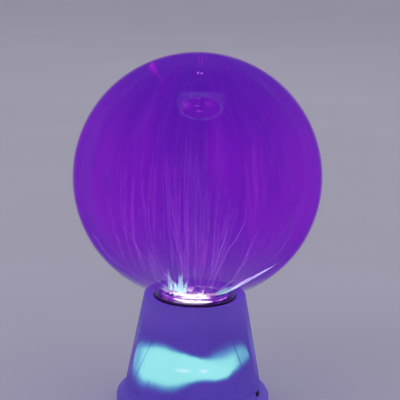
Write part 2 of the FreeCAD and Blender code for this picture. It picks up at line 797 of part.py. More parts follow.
# ---------------------------------------------------------------- lamps and diffuser
def lamp_unit(name, facing, spots):
    """A small lamp board with two lamps on an A-shaped bracket that stands on the cover."""
    floor = d.underside_height + d.cover_thickness
    mid, half = d.lamp_height, d.lamp_board_height / 2
    top, low = mid + half + 1.0, mid - half - 1.0
    a, foot, leg = d.lamp_board_width / 2 + 1.0, 24.0, 4.0
    frame = extruded(f"{name}_bracket_pad", [
        (-a, low), (-foot, floor + 2.0), (-foot - 3.0, floor + 2.0), (-foot - 3.0, floor), (-foot + leg, floor),
        (-foot + leg, floor + 2.0), (-a + leg, low - 2.0), (a - leg, low - 2.0), (foot - leg, floor + 2.0),
        (foot - leg, floor), (foot + 3.0, floor), (foot + 3.0, floor + 2.0), (foot, floor + 2.0), (a, low),
        (a, top), (-a, top),
    ], 2.0)
    turn = 0 if facing < 0 else 180
    face = d.lamp_board_face
    aim(frame, (0, 0, 1), turn)
    part(move(frame, 0, facing * (face - 2.0), 0), f"lamp_bracket_{name}")
    board = centred_box(f"{name}_lamp_board", 0, facing * (face + 0.6), mid - half, d.lamp_board_width, 1.2,
                        d.lamp_board_height)
    part(board, f"lamp_board_{name}")
    lamps = []
    for i, x in enumerate(spots):
        case = centred_box(f"{name}_lamp_{i}", x, facing * (face + 1.9), mid - 2.5, 5.0, 1.4, 5.0)
        lens = rod(f"{name}_lens_{i}", 1.8, 0.6, x, facing * (face + 2.6) - (0.6 if facing < 0 else 0), mid, "y")
        lamps.append(joined(f"{name}_lamp_solid_{i}", case, lens))
    part(group(f"{name}_lamp_set", lamps), f"lamps_{name}")


def diffuser_sleeve():
    """The milky sleeve that stands on the shell's webs and spreads the lamps' light."""
    wall = d.shell_wall * 1.018
    low, high, gap = d.sleeve_bottom_height, d.sleeve_top_height, d.sleeve_gap
    outer_low, outer_high = shell_radius(low) - wall - gap, shell_radius(high) - wall - gap
    part(
        turned("sleeve", [
            (outer_low, low), (outer_high, high), (outer_high - d.sleeve_wall, high), (outer_low - d.sleeve_wall, low),
        ]),
        "diffuser_sleeve",
    )


# ---------------------------------------------------------------- controls
def slide_switch():
    """Housing, mounting plate and screws of the slide switch, and the slider that moves in it."""
    face, height, slot = d.switch_face, d.switch_height, d.slot_length
    plate = box("switch_plate_block", face - 0.6, -11, height - 1.9, 0.6, 22, 5.2)
    window = box("switch_plate_window", face - 2, -slot / 2, height - 1.75, 4, slot, 3.5)
    holes = [rod(f"switch_plate_hole_{i}", 1.0, 4, face - 2, 8.6 * s, height + 1.6, "x") for i, s in ((0, -1), (1, 1))]
    part(aim(cut("switch_plate", plate, window, *holes), (0, 0, 1), d.switch_angle), "switch_plate")
    front = face - 0.6
    shell = box("switch_case_block", front - 6.5, -6.3, height - 3.25, 6.5, 12.6, 6.5)
    cavity = box("switch_cavity", front - 3.4, -5.5, height - 2.3, 2.4, 11.0, 4.6)
    mouth = box("switch_mouth", front - 2, -slot / 2, height - 1.75, 4, slot, 3.5)
    terminals = [centred_box(f"terminal_{i}", front - 8.1, 4.0 * (i - 1), height - 1.0, 3.4, 1.4, 0.5) for i in range(3)]
    case = joined("switch_case_solid", cut("switch_case_cut", shell, cavity, mouth), *terminals)
    part(aim(group("switch_case", [case]), (0, 0, 1), d.switch_angle), "switch_case")
    screws = []
    for i, s in ((0, -1), (1, 1)):
        shank = rod(f"switch_screw_shank_{i}", 0.7, 2.6, front, 8.6 * s, height + 1.6, "x")
        head = rod(f"switch_screw_head_{i}", 1.5, 0.9, front - 0.9, 8.6 * s, height + 1.6, "x")
        screws.append(joined(f"switch_screw_{i}", shank, head))
    part(aim(group("switch_screw_set", screws), (0, 0, 1), d.switch_angle), "switch_screws")
    start = -d.switch_travel / 2
    carriage = box("slider_carriage", front - 3.2, start - 2.8, height - 2.05, 2.0, 5.6, 4.1)
    knob_end = shell_radius(height) + 1.5
    knob = box("slider_knob", front - 1.4, start - 1.5, height - 1.4, knob_end - front + 1.4, 3.0, 2.8)
    ridges = [
        box(f"slider_groove_{i}", knob_end - 0.4, start - 0.95 + 0.8 * i, height - 2, 1, 0.3, 4) for i in range(3)
    ]
    slider = cut("slider", joined("slider_solid", carriage, knob), *ridges)
    part(aim(slider, (0, 0, 1), d.switch_angle), "switch_slider")


def power_inlet():
    """Barrel socket for the low-voltage supply, with its centre pin and hexagonal nut."""
    face, height, barrel = d.jack_face, d.jack_height, d.jack_barrel / 2
    flange = rod("jack_flange", 5.6, 1.5, 0, face, height, "y")
    body = rod("jack_body", barrel, 13.0, 0, face - 13.0, height, "y")
    bore = rod("jack_bore", 2.9, 9.5, 0, face + 1.5 - 9.5, height, "y")
    mouth = rod("jack_mouth", 3.5, 0.5, 0, face + 1.0, height, "y")
    pin = rod("jack_pin", 1.0, 8.4, 0, face + 1.5 - 9.6, height, "y")
    lugs = [
        centred_box(f"jack_lug_{i}", x, face - 15.0, height - 0.4, 1.8, 4.4, 0.8) for i, x in enumerate((-2.2, 2.2))
    ]
    hollow = cut("jack_hollow", joined("jack_solid", flange, body), bore, mouth)
    part(joined("jack", hollow, pin, *lugs), "power_socket")
    hexagon = DOC.addObject("Part::Prism", "nut_block")
    hexagon.Polygon = 6
    bind(hexagon, "Circumradius", 5.8)
    bind(hexagon, "Height", 2.0)
    aim(hexagon, (1, 0, 0), -90)
    move(hexagon, 0, face - 6.6, height)
    hole = rod("nut_hole", barrel + 0.05, 4.0, 0, face - 7.6, height, "y")
    part(cut("nut", hexagon, hole), "socket_nut")


def microphone():
    wall = shell_radius(d.jack_height)
    capsule = rod("capsule", 3.1, 2.6, wall - 6.2, 0, d.jack_height, "x")
    part(aim(group("capsule_turned", [capsule]), (0, 0, 1), d.mic_angle), "microphone_capsule")
    sleeve = rod("grommet_block", 3.6, 3.0, wall - 6.4, 0, d.jack_height, "x")
    bore = rod("grommet_bore", 3.15, 5.0, wall - 7.4, 0, d.jack_height, "x")
    part(aim(cut("grommet", sleeve, bore), (0, 0, 1), d.mic_angle), "microphone_grommet")


# ---------------------------------------------------------------- wiring
def wiring(coil_x, coil_y, coil_top, board_top):
    stud = d.stud_offset.value
    boot_low = d.clamp_height.value + 1.0
    boot = rod("boot_block", 4.4, 9.0, d.stud_offset, 0, boot_low)
    stud_bore = rod("boot_stud_bore", 1.55, 4.0, d.stud_offset, 0, boot_low + 5.6)
    wire_bore = rod("boot_wire_bore", 1.55, 4.0, d.stud_offset, 0, boot_low - 1.0)
    part(cut("boot", boot, stud_bore, wire_bore), "electrode_boot")
    leads("high_voltage_lead", [[
        (coil_x, coil_y - 11.0, coil_top), (coil_x, coil_y - 11.0, coil_top + 10), (coil_x + 12, coil_y - 12, 62),
        (stud, 0, 64), (stud, 0, boot_low + 2.9),
    ]], 1.5)
    jack_y, jack_z = d.jack_face.value - 17.3, d.jack_height.value
    leads("socket_leads", [
        [(x, jack_y, jack_z), (x, jack_y - 3.4, jack_z), (x, 25.0, jack_z - 8), (x, 25.0, board_top)]
        for x in (-2.2, 2.2)
    ], 0.9)
    turn = math.radians(d.switch_angle.value)
    radial, across = (math.cos(turn), math.sin(turn)), (-math.sin(turn), math.cos(turn))
    routes = []
    reach, height = d.switch_face.value - 0.6 - 8.1 - 1.8, d.switch_height.value - 0.75
    for i in range(3):
        side = 4.0 * (i - 1)

        def at(r, z, side=side):
            return (r * radial[0] + side * across[0], r * radial[1] + side * across[1], z)

        routes.append([at(reach, height), at(reach - 3, height), at(reach - 6.5, height - 3), at(reach - 6.5, board_top)])
    leads("switch_leads", routes, 0.7)
    face = d.lamp_board_face.value
    low = d.lamp_height.value - d.lamp_board_height.value / 2
    for name, facing in (("front", -1), ("rear", 1)):
        y = facing * (face + 0.6)
        leads(f"lamp_leads_{name}", [
            [
                (x, y, low), (x, y, low - 8), (x, y - facing * 11, low - 22), (x, y - facing * 11, board_top),
            ]
            for x in (-10.5, -7.5)
        ], 0.6)


# ---------------------------------------------------------------- build
def check_document():
    """Stops if any object failed, or if a piece has no valid solid."""
    failed = [o.Name for o in DOC.Objects if "Invalid" in o.State or "Error" in o.State]
    if failed:
        raise RuntimeError(f"these objects failed: {failed}")
    for item in PARTS:
        if item.Shape.isNull() or not item.Shape.isValid() or not item.Shape.Solids:
            raise RuntimeError(f"{item.Label} has no valid solid")


def main():
    fill_sheet()
    glass_globe()
    glass_stem()
    electrode()
    neck_trim()
    neck_clamp()
    base_shell()
    base_plinth()
    bottom_cover()
    driver_board()
    board_top = d.board_height.value + d.board_thickness.value
    coil_x, coil_y, coil_top = flyback(board_top)
    heat_sink(board_top)
    small_components(board_top)
    lamp_unit("front", -1, (-9.0, 4.7))
    lamp_unit("rear", 1, (-4.7, 9.0))
    diffuser_sleeve()
    slide_switch()
    power_inlet()
    microphone()
    wiring(coil_x, coil_y, coil_top, board_top)
    DOC.recompute()
    check_document()
    os.makedirs("parts", exist_ok=True)
    for item in PARTS:
        item.Shape.exportStep(f"parts/{item.Label}.step")
        print(f"{item.Label}: {len(item.Shape.Solids)} solid(s), {item.Shape.Volume:.0f} mm3")


main()
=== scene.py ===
import bisect
import json
import math
import random

import bpy
import bmesh
from mathutils import Matrix, Vector, noise


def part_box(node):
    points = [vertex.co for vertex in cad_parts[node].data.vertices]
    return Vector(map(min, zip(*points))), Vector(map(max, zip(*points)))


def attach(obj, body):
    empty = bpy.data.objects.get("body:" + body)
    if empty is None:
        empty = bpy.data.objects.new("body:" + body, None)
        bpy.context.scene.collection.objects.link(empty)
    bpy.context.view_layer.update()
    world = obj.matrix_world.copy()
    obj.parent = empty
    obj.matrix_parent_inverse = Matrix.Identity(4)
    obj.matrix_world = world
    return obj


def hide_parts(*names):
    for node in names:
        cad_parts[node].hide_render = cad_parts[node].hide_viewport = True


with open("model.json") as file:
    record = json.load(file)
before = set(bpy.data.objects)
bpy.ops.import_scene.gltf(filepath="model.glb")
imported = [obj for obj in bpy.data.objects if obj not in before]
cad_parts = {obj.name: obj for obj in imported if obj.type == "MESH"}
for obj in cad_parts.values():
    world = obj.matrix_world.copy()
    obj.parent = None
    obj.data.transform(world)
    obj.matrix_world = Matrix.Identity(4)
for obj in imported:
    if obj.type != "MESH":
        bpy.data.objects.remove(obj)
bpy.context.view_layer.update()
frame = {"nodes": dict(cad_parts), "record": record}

# ---------------------------------------------------------------- sizes in metres, shared with the CAD frame
MM = 0.001

# The blown glass: ball, neck, the bend between them, and the domed plate that closes the neck.
GLOBE_LOW, GLOBE_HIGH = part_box("glass_globe")
GLOBE_R = 100 * MM
CENTRE_Z = GLOBE_HIGH[2] - GLOBE_R
NECK_LOW = GLOBE_LOW[2]
WALL = 1.8 * MM
NECK_R = 29 * MM
BEND = 2.5 * MM
DOME_R = 70 * MM
DOME_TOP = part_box("glass_stem")[1][2]

# The discharge: its sheet on the dome, the room it fills, and the height it rises from.
DISCHARGE_R = DOME_R + 0.6 * MM
GAS_R = 97.4 * MM
ROOT_Z = 101.5 * MM

# The shell's outer cone.
SHELL_LOW, SHELL_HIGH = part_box("base_shell")
SHELL_FOOT_R = 57 * MM
SHELL_TOP_R = 41.5 * MM
SHELL_SLOPE = (SHELL_FOOT_R - SHELL_TOP_R) / (SHELL_HIGH[2] - SHELL_LOW[2])


def linear(red, green, blue):
    """A display colour given from 0 to 255, as the linear numbers that shaders take."""
    parts = (red / 255, green / 255, blue / 255)
    return tuple(c / 12.92 if c <= 0.04045 else ((c + 0.055) / 1.055) ** 2.4 for c in parts)


def scaled(colour, share):
    return tuple(c * share for c in colour)


# ---------------------------------------------------------------- colours of the light and frosted plastic
LAVENDER = linear(92, 66, 178)
LAVENDER_DEEP = linear(80, 60, 168)
LAVENDER_PINK = linear(104, 66, 180)
SKIN_COVER = 0.66

# The lamps' pool of light painted on the wall, from unlit wall to full light, and its painted hot spots.
POOL = ((0.015, 0.006, 0.062), (0.012, 0.06, 0.11), (0.05, 0.3, 0.3), (0.24, 0.84, 0.54), (0.31, 0.95, 0.6))
POOL_SPOT = (0.56, 1.0, 0.74)
POOL_POWER = 2.4
# Strength of the painted lavender glow on the seat, in place of the pool.
SEAT_GLOW = 0.2

# Gas: its colour high in the ball, low in the ball, and in its denser sheets.
WALL_GAS = (linear(84, 20, 170), linear(74, 42, 162), linear(124, 22, 190))
INNER_GAS = (linear(44, 22, 144), linear(104, 48, 184), linear(116, 32, 190))
STRAND = linear(186, 92, 220)

# Streamers, arcs and sparks, the painted glints, and the neck's painted mirror image.
STREAMER_LOW = linear(182, 76, 204)
STREAMER_HIGH = linear(160, 56, 200)
VEIL = linear(140, 36, 198)
VIOLET = linear(150, 66, 204)
PINK = linear(196, 92, 214)
HOT_PINK = linear(196, 36, 206)
ROSE = linear(226, 150, 214)
PALE_ROSE = linear(236, 184, 240)
MINT = linear(140, 234, 214)
PALE_MINT = linear(184, 236, 226)
ICE = linear(214, 214, 248)
HOT = linear(255, 250, 244)
GLINT = linear(226, 120, 240)
IMAGE_PALE = linear(122, 118, 172)
IMAGE_DEEP = linear(112, 8, 130)


# ---------------------------------------------------------------- material nodes
class Graph:
    """The nodes of one material. A value is a number, a colour or another node's socket."""

    def __init__(self, name):
        self.material = bpy.data.materials.new(name)
        self.material.use_nodes = True
        self.tree = self.material.node_tree
        self.tree.nodes.clear()
        self.output = self.tree.nodes.new("ShaderNodeOutputMaterial")

    def give(self, socket, value):
        if isinstance(value, bpy.types.NodeSocket):
            self.tree.links.new(value, socket)
        elif socket.type == "RGBA":
            socket.default_value = (*value[:3], 1.0)
        else:
            socket.default_value = value

    def put(self, kind, inputs=None, **settings):
        node = self.tree.nodes.new(kind)
        for name, value in settings.items():
            setattr(node, name, value)
        for key, value in (inputs or {}).items():
            self.give(node.inputs[key], value)
        return node

    def math(self, operation, *values):
        node = self.put("ShaderNodeMath", operation=operation)
        for socket, value in zip(node.inputs, values):
            self.give(socket, value)
        return node.outputs[0]

    def add(self, a, b):
        return self.math("ADD", a, b)

    def less(self, a, b):
        return self.math("SUBTRACT", a, b)

    def times(self, a, b):
        return self.math("MULTIPLY", a, b)

    def place(self):
        return self.put("ShaderNodeTexCoord").outputs["Object"]

    def split(self, vector):
        node = self.put("ShaderNodeSeparateXYZ", {0: vector})
        return node.outputs[0], node.outputs[1], node.outputs[2]

    def vector(self, x, y, z):
        return self.put("ShaderNodeCombineXYZ", {0: x, 1: y, 2: z}).outputs[0]

    def noise(self, where, scale, detail=2.0, roughness=0.5, distortion=0.0):
        inputs = {
            "Vector": where,
            "Scale": scale,
            "Detail": detail,
            "Roughness": roughness,
            "Distortion": distortion,
        }
        return self.put("ShaderNodeTexNoise", inputs).outputs[0]

    def range(self, value, low, high, to_low=0.0, to_high=1.0, smooth=True):
        inputs = {"Value": value, "From Min": low, "From Max": high, "To Min": to_low, "To Max": to_high}
        kind = "SMOOTHSTEP" if smooth else "LINEAR"
        return self.put("ShaderNodeMapRange", inputs, interpolation_type=kind).outputs[0]

    def mix(self, factor, a, b, blend="MIX"):
        node = self.put("ShaderNodeMix", data_type="RGBA", blend_type=blend)
        for socket, value in ((node.inputs[0], factor), (node.inputs[6], a), (node.inputs[7], b)):
            self.give(socket, value)
        return node.outputs[2]

    def ramp(self, value, *stops):
        """Colours at places from 0 to 1."""
        node = self.put("ShaderNodeValToRGB", {0: value})
        points = node.color_ramp.elements
        while len(points) < len(stops):
            points.new(1.0)
        for point, (at, colour) in zip(points, stops):
            point.position = at
            point.color = (*colour, 1.0)
        return node.outputs[0]

    def curve(self, value, *points):
        """A smooth curve through points whose numbers go from 0 to 1."""
        node = self.put("ShaderNodeFloatCurve", {"Value": value})
        line = node.mapping.curves[0]
        line.points[0].location = points[0]
        line.points[1].location = points[-1]
        for at in points[1:-1]:
            line.points.new(*at)
        node.mapping.update()
        return node.outputs[0]

    def bump(self, height, strength, distance):
        inputs = {"Height": height, "Strength": strength, "Distance": distance}
        return self.put("ShaderNodeBump", inputs).outputs[0]

    def principled(self, **inputs):
        named = {key.replace("_", " "): value for key, value in inputs.items()}
        return self.put("ShaderNodeBsdfPrincipled", named).outputs[0]

    def finish(self, shader):
        self.tree.links.new(shader, self.output.inputs["Surface"])
        return self.material

    def glow(self, colour, strength, alpha):
        """Finish as a surface that only gives off light."""
        return self.finish(self.principled(
            Base_Color=(0.0, 0.0, 0.0),
            Roughness=1.0,
            Specular_IOR_Level=0.0,
            Emission_Color=colour,
            Emission_Strength=strength,
            Alpha=alpha,
        ))


def moulded(name, colour, rough=0.45, grain=900.0, depth=0.04, worn=0.1, **extra):
    """Moulded plastic, rubber or ceramic, with fine grain and a little uneven colour and gloss."""
    g = Graph(name)
    where = g.place()
    broad = g.noise(where, 60.0, 3.0)
    fine = g.noise(where, grain, 2.0)
    dark = scaled(colour, 1 - worn)
    light = tuple(min(c * (1 + worn) + 0.004, 1.0) for c in colour)
    return g.finish(g.principled(
        Base_Color=g.mix(g.range(broad, 0.3, 0.7), dark, light),
        Roughness=g.range(g.noise(where, 180.0, 3.0), 0.25, 0.75, rough - 0.06, rough + 0.08),
        Normal=g.bump(fine, 0.35, depth * MM),
        **extra,
    ))


def plated(name, colour, rough=0.28, brushed=(1.0, 1.0, 14.0), worn=0.12):
    """Bare or plated metal with fine scratches along one way."""
    g = Graph(name)
    x, y, z = g.split(g.place())
    along = g.vector(g.times(x, brushed[0]), g.times(y, brushed[1]), g.times(z, brushed[2]))
    scratches = g.noise(along, 420.0, 4.0, 0.6)
    broad = g.noise(g.place(), 90.0, 3.0)
    return g.finish(g.principled(
        Base_Color=g.mix(g.range(broad, 0.3, 0.7), scaled(colour, 1 - worn), colour),
        Metallic=1.0,
        Roughness=g.range(scratches, 0.3, 0.7, rough - 0.08, rough + 0.1),
        Normal=g.bump(scratches, 0.2, 0.01 * MM),
    ))


def wound(name, colour, pitch, rough=0.35, **extra):
    """Turns of wire or tape round an upright coil."""
    g = Graph(name)
    z = g.split(g.place())[2]
    turns = g.math("SINE", g.times(z, 2 * math.pi / pitch))
    broad = g.noise(g.place(), 120.0, 3.0)
    return g.finish(g.principled(
        Base_Color=g.mix(g.range(broad, 0.3, 0.7), scaled(colour, 0.7), colour),
        Roughness=g.range(broad, 0.2, 0.8, rough - 0.08, rough + 0.1),
        Normal=g.bump(turns, 0.6, 0.06 * MM),
        **extra,
    ))


def circuit(name, colour, track):
    """Solder mask over copper tracks."""
    g = Graph(name)
    x, y, _ = g.split(g.place())
    black, white = (0, 0, 0), (1, 1, 1)
    cells = g.put("ShaderNodeTexBrick", {
        "Vector": g.vector(x, y, 0.0), "Scale": 140.0, "Mortar Size": 0.03,
        "Color1": black, "Color2": black, "Mortar": white,
    }).outputs[0]
    patchy = g.times(g.range(g.noise(g.place(), 70.0, 1.0), 0.5, 0.56), g.split(cells)[0])
    return g.finish(g.principled(
        Base_Color=g.mix(patchy, colour, track),
        Roughness=g.range(g.noise(g.place(), 300.0), 0.3, 0.7, 0.26, 0.38),
        Normal=g.bump(patchy, 0.3, 0.03 * MM),
    ))


def clear_glass(name, rim=0.06):
    """Thin clear glass. It mirrors most at its edges, where the ball also carries violet light."""
    g = Graph(name)
    surface = g.principled(
        Base_Color=(0.9, 0.86, 1.0),
        Metallic=1.0,
        Roughness=g.range(g.noise(g.place(), 40.0, 3.0), 0.3, 0.7, 0.03, 0.06),
        Normal=g.bump(g.noise(g.place(), 16.0, 2.0), 0.15, 0.4 * MM),
    )
    facing = g.put("ShaderNodeLayerWeight", {"Blend": 0.5}).outputs["Facing"]
    edge = g.math("POWER", facing, 4.0)
    ball = g.range(g.split(g.place())[2], 0.115, 0.15)
    tint = g.mix(g.times(edge, ball), (0.985, 0.98, 0.99), (0.74, 0.38, 0.97))
    film = g.put("ShaderNodeBsdfTransparent", {"Color": tint}).outputs[0]
    share = g.times(edge, rim)
    return g.finish(g.put("ShaderNodeMixShader", {0: share, 1: film, 2: surface}).outputs[0])


def frosted(name, glow=0.42, alpha=None):
    """Frosted violet plastic with a painted glow: its emission stands for the light that it carries inside
    it.
    """
    g = Graph(name)
    where = g.place()
    z = g.split(where)[2]
    cloud = g.noise(where, 22.0, 3.0)
    speck = g.noise(where, 1600.0, 2.0)
    body = g.mix(g.range(cloud, 0.3, 0.7), LAVENDER_DEEP, LAVENDER)
    body = g.mix(g.range(z, 0.03, 0.1, 0.0, 0.35), body, LAVENDER_PINK)
    extra = {} if alpha is None else {"Alpha": alpha(g, z)}
    # The emission is a painted glow, in the plastic's own colour.
    return g.finish(g.principled(
        Base_Color=body,
        Emission_Color=body,
        Emission_Strength=glow,
        Roughness=g.range(g.noise(where, 260.0, 2.0), 0.3, 0.7, 0.42, 0.54),
        Normal=g.bump(speck, 0.3, 0.02 * MM),
        **extra,
    ))


def skin_alpha(g, z):
    """The outer skin is clearest over the lamps and solid where the wall meets the seat and the foot ring."""
    upper = g.range(z, 72 * MM, 92 * MM, SKIN_COVER, 1.0)
    lower = g.range(z, 20 * MM, 25 * MM, 1.0 - SKIN_COVER, 0.0)
    return g.add(upper, lower)


def lit_wall(name):
    """The wall's frosted inner face, with the lamps' pool of light painted on it, in front and again at the
    rear, crossed by painted shadows of the lamp bracket's legs, with painted hot spots and a painted glow at
    the seat.
    """
    g = Graph(name)
    where = g.place()
    x, y, z = g.split(where)
    forward = g.math("SIGN", g.times(y, -1.0))
    angle = g.math("ARCTAN2", g.times(x, forward), g.math("ABSOLUTE", y))
    turn = g.range(angle, -math.pi / 2, math.pi / 2, smooth=False)
    height = g.times(z, 10.0)
    wander = g.times(g.less(g.noise(where, 45.0, 3.0), 0.5), 0.05)
    top = g.curve(
        turn, (0.0, 0.5), (0.096, 0.605), (0.217, 0.641), (0.33, 0.667), (0.394, 0.656), (0.453, 0.641),
        (0.509, 0.618), (0.564, 0.608), (0.622, 0.61), (0.685, 0.617), (0.747, 0.647), (0.812, 0.656),
        (0.88, 0.611), (0.909, 0.53), (1.0, 0.4),
    )
    low = g.curve(
        turn, (0.0, 0.38), (0.104, 0.338), (0.183, 0.336), (0.264, 0.345), (0.357, 0.356), (0.41, 0.369),
        (0.461, 0.398), (0.511, 0.424), (0.563, 0.43), (0.616, 0.426), (0.674, 0.429), (0.728, 0.453),
        (0.785, 0.48), (0.851, 0.5), (1.0, 0.52),
    )
    top_haze = g.curve(
        turn, (0.0, 0.1), (0.22, 0.11), (0.35, 0.1), (0.44, 0.05), (0.55, 0.06), (0.68, 0.19), (0.8, 0.1),
        (1.0, 0.06),
    )
    low_haze = g.curve(
        turn, (0.0, 0.15), (0.25, 0.14), (0.4, 0.12), (0.5, 0.07), (0.6, 0.055), (0.8, 0.08), (1.0, 0.06),
    )
    above = g.range(g.math("DIVIDE", g.less(g.add(top, wander), height), top_haze), -0.62, 0.62)
    below = g.range(g.math("DIVIDE", g.less(height, g.add(low, wander)), low_haze), -0.62, 0.62)
    ends = g.times(g.range(angle, -1.25, -0.85, 0.55, 1.0), g.range(angle, 0.55, 1.05, 1.0, 0.56))
    pool = g.times(g.times(above, below), ends)
    # Painted shadows: two thin slanted darker lines across the pool, where the lamp bracket's legs shade the
    # wall.
    for start, lean, wide in ((-48.0, -0.92, 1.0), (45.0, 0.74, 1.3)):
        drop = g.less(0.7, height)
        line = g.math("ABSOLUTE", g.less(angle, g.add(math.radians(start), g.times(drop, lean))))
        pool = g.times(pool, g.range(line, 0.0, 0.04 * wide, 0.74, 1.0))
    # Painted hot spots, where the two lamps shine through the front of the wall.
    spots = 0.0
    for middle, reach in ((-9.5, 0.17), (10.0, 0.1)):
        across = g.math("DIVIDE", g.less(angle, math.radians(middle)), reach)
        up = g.math("DIVIDE", g.less(height, 0.506), 0.019)
        far = g.math("SQRT", g.add(g.times(across, across), g.times(up, up)))
        spots = g.add(spots, g.range(far, 0.2, 1.2, 1.0, 0.0))
    cloudy = g.range(g.noise(where, 26.0, 2.0), 0.3, 0.7, 0.9, 1.0)
    level = g.times(pool, cloudy)
    body = g.mix(g.range(g.noise(where, 22.0, 3.0), 0.3, 0.7), LAVENDER_DEEP, LAVENDER)
    light = g.ramp(level, *zip((0.0, 0.18, 0.45, 0.75, 1.0), POOL))
    light = g.mix(spots, light, POOL_SPOT)
    # The seat gets a painted lavender glow in place of the pool.
    light = g.mix(g.range(z, 93 * MM, 97 * MM), light, scaled(LAVENDER_PINK, SEAT_GLOW))
    return g.finish(g.principled(
        Base_Color=body,
        Roughness=0.55,
        Emission_Color=light,
        Emission_Strength=POOL_POWER,
        Normal=g.bump(g.noise(where, 1500.0), 0.2, 0.02 * MM),
    ))


def streaks(g, where, around, along, warp, seed, detail=3.0):
    """Noise drawn out along the flow lines that rise from the neck, with no seam round the axis."""
    x, y, z = g.split(where)
    radius = g.math("SQRT", g.add(g.add(g.times(x, x), g.times(y, y)), 1e-7))
    bend = g.less(g.noise(g.vector(x, y, g.add(z, seed)), 14.0, 3.0), 0.5)
    east = g.add(g.times(g.math("DIVIDE", x, radius), around), g.times(bend, warp))
    north = g.add(g.times(g.math("DIVIDE", y, radius), around), g.times(bend, warp))
    return g.noise(g.vector(east, north, g.add(g.times(z, along), seed)), 1.0, detail, 0.55)


def gas(name, alpha, seed, colours, wisps, thin_to):
    """Glowing gas on one layer of the discharge: soft sheets, and fine wisps that come and go."""
    upper, lower, sheet = colours
    g = Graph(name)
    where = g.place()
    x, _, z = g.split(where)
    broad = g.range(streaks(g, where, 1.5, 4.0, 0.9, seed), 0.36, 0.64)
    fine = streaks(g, where, 11.0, 5.0, 1.5, seed + 3.7)
    ridge = g.range(g.math("ABSOLUTE", g.less(fine, 0.5)), 0.0, 0.05, 1.0, 0.0)
    present = g.range(streaks(g, where, 2.6, 9.0, 0.6, seed + 9.1, 1.0), 0.42, 0.62)
    climb = g.range(z, 0.14, 0.27, 1.0, 0.2)
    strand = g.times(g.times(g.times(ridge, present), climb), wisps)
    lanes = g.range(streaks(g, where, 4.2, 5.0, 1.4, seed + 6.2, 2.0), 0.38, 0.62)
    colour = g.mix(g.range(z, 0.12, 0.21), lower, upper)
    bands = g.add(g.times(broad, 0.55), g.times(lanes, 0.45))
    side = g.range(g.math("ABSOLUTE", x), 40 * MM, 95 * MM, 0.0, 0.24)
    sheets = g.times(g.range(z, 0.22, 0.29, 0.9, 0.3), g.range(z, 0.12, 0.19, 0.35, 1.0))
    colour = g.mix(g.add(g.times(bands, sheets), side), colour, sheet)
    colour = g.mix(strand, colour, STRAND)
    thin = g.range(z, 0.103, thin_to, 0.12, 1.0)
    cover = g.add(g.range(bands, 0.2, 0.8, alpha * 0.85, alpha * 1.15), g.times(strand, 0.3))
    return g.glow(colour, 1.0, g.times(cover, thin))


def spark(name, strength, opacity):
    """Discharge drawn with its own colours: each point's colour and how solid it is come with the mesh."""
    g = Graph(name)
    tint = g.put("ShaderNodeAttribute", attribute_name="tint").outputs["Color"]
    body = g.put("ShaderNodeAttribute", attribute_name="body").outputs["Fac"]
    flicker = g.range(g.noise(g.place(), 240.0, 2.0), 0.3, 0.7, 0.75, 1.0)
    return g.glow(tint, strength, g.times(g.times(body, flicker), opacity))


def floor_paint(name):
    g = Graph(name)
    mottled = g.noise(g.place(), 3.0, 3.0)
    return g.finish(g.principled(
        Base_Color=g.mix(g.range(mottled, 0.3, 0.7), (0.66, 0.65, 0.71), (0.69, 0.68, 0.74)),
        Roughness=g.range(mottled, 0.3, 0.7, 0.5, 0.62),
    ))


# ---------------------------------------------------------------- mesh helpers
def mesh_object(name, points, faces, material, tints=None, solids=None):
    mesh = bpy.data.meshes.new(name)
    mesh.from_pydata(points, [], faces)
    mesh.polygons.foreach_set("use_smooth", [True] * len(mesh.polygons))
    if tints is not None:
        layer = mesh.attributes.new("tint", "FLOAT_COLOR", "POINT")
        layer.data.foreach_set("color", [c for tint in tints for c in (*tint, 1.0)])
        layer = mesh.attributes.new("body", "FLOAT", "POINT")
        layer.data.foreach_set("value", solids)
    mesh.materials.append(material)
    mesh.update()
    made = bpy.data.objects.new(name, mesh)
    bpy.context.scene.collection.objects.link(made)
    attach(made, "base")
    return made


def lathe(profile, sides, shape=None):
    """Points and faces of a profile of (radius, height) turned about the axis. A radius of 0 is a pole."""
    points, rows = [], []
    for r, z in profile:
        if r < 1e-9:
            rows.append([len(points)] * sides)
            points.append((0.0, 0.0, z))
            continue
        rows.append(range(len(points), len(points) + sides))
        for k in range(sides):
            a = 2 * math.pi * k / sides
            at = (r * math.sin(a), -r * math.cos(a), z)
            points.append(shape(at) if shape else at)
    faces = []
    for low, high in zip(rows, rows[1:]):
        for k in range(sides):
            n = (k + 1) % sides
            corners = [low[k], low[n], high[n], high[k]]
            faces.append([c for j, c in enumerate(corners) if c != corners[j - 1]])
    return points, faces


def arc(centre_r, centre_z, radius, start, end, steps):
    """Profile points on an arc; angles in radians from the outward horizontal."""
    turn = (end - start) / steps
    return [
        (centre_r + radius * math.cos(start + turn * i), centre_z + radius * math.sin(start + turn * i))
        for i in range(steps + 1)
    ]


# ---------------------------------------------------------------- the globe's glass
def globe_profile(radius, neck, bend):
    """Half outline of the ball from its top to the neck's end, for one face of the glass."""
    reach = radius + bend
    side = neck + bend
    drop = math.sqrt(reach * reach - side * side)
    meet = math.atan2(-drop, side)
    ball = arc(0.0, CENTRE_Z, radius, math.pi / 2, meet, 110)
    turn = arc(side, CENTRE_Z - drop, bend, math.pi + meet, math.pi, 10)
    return ball + turn[1:] + [(neck, CENTRE_Z - drop - 6 * MM), (neck, NECK_LOW)]


def make_globe():
    outer = globe_profile(GLOBE_R, NECK_R, BEND)
    inner = globe_profile(GLOBE_R - WALL, NECK_R - WALL, BEND + WALL)
    outer[0] = (0.0, outer[0][1])
    inner[0] = (0.0, inner[0][1])
    points, faces = lathe(outer + inner[::-1], 220)
    made = mesh_object("globe_glass", points, faces, clear_glass("blown_glass"))
    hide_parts("glass_globe")


# ---------------------------------------------------------------- the discharge
def reach_at(z):
    """Radius of the room inside the glass at a height."""
    return math.sqrt(max(GAS_R * GAS_R - (z - CENTRE_Z) ** 2, 0.0))


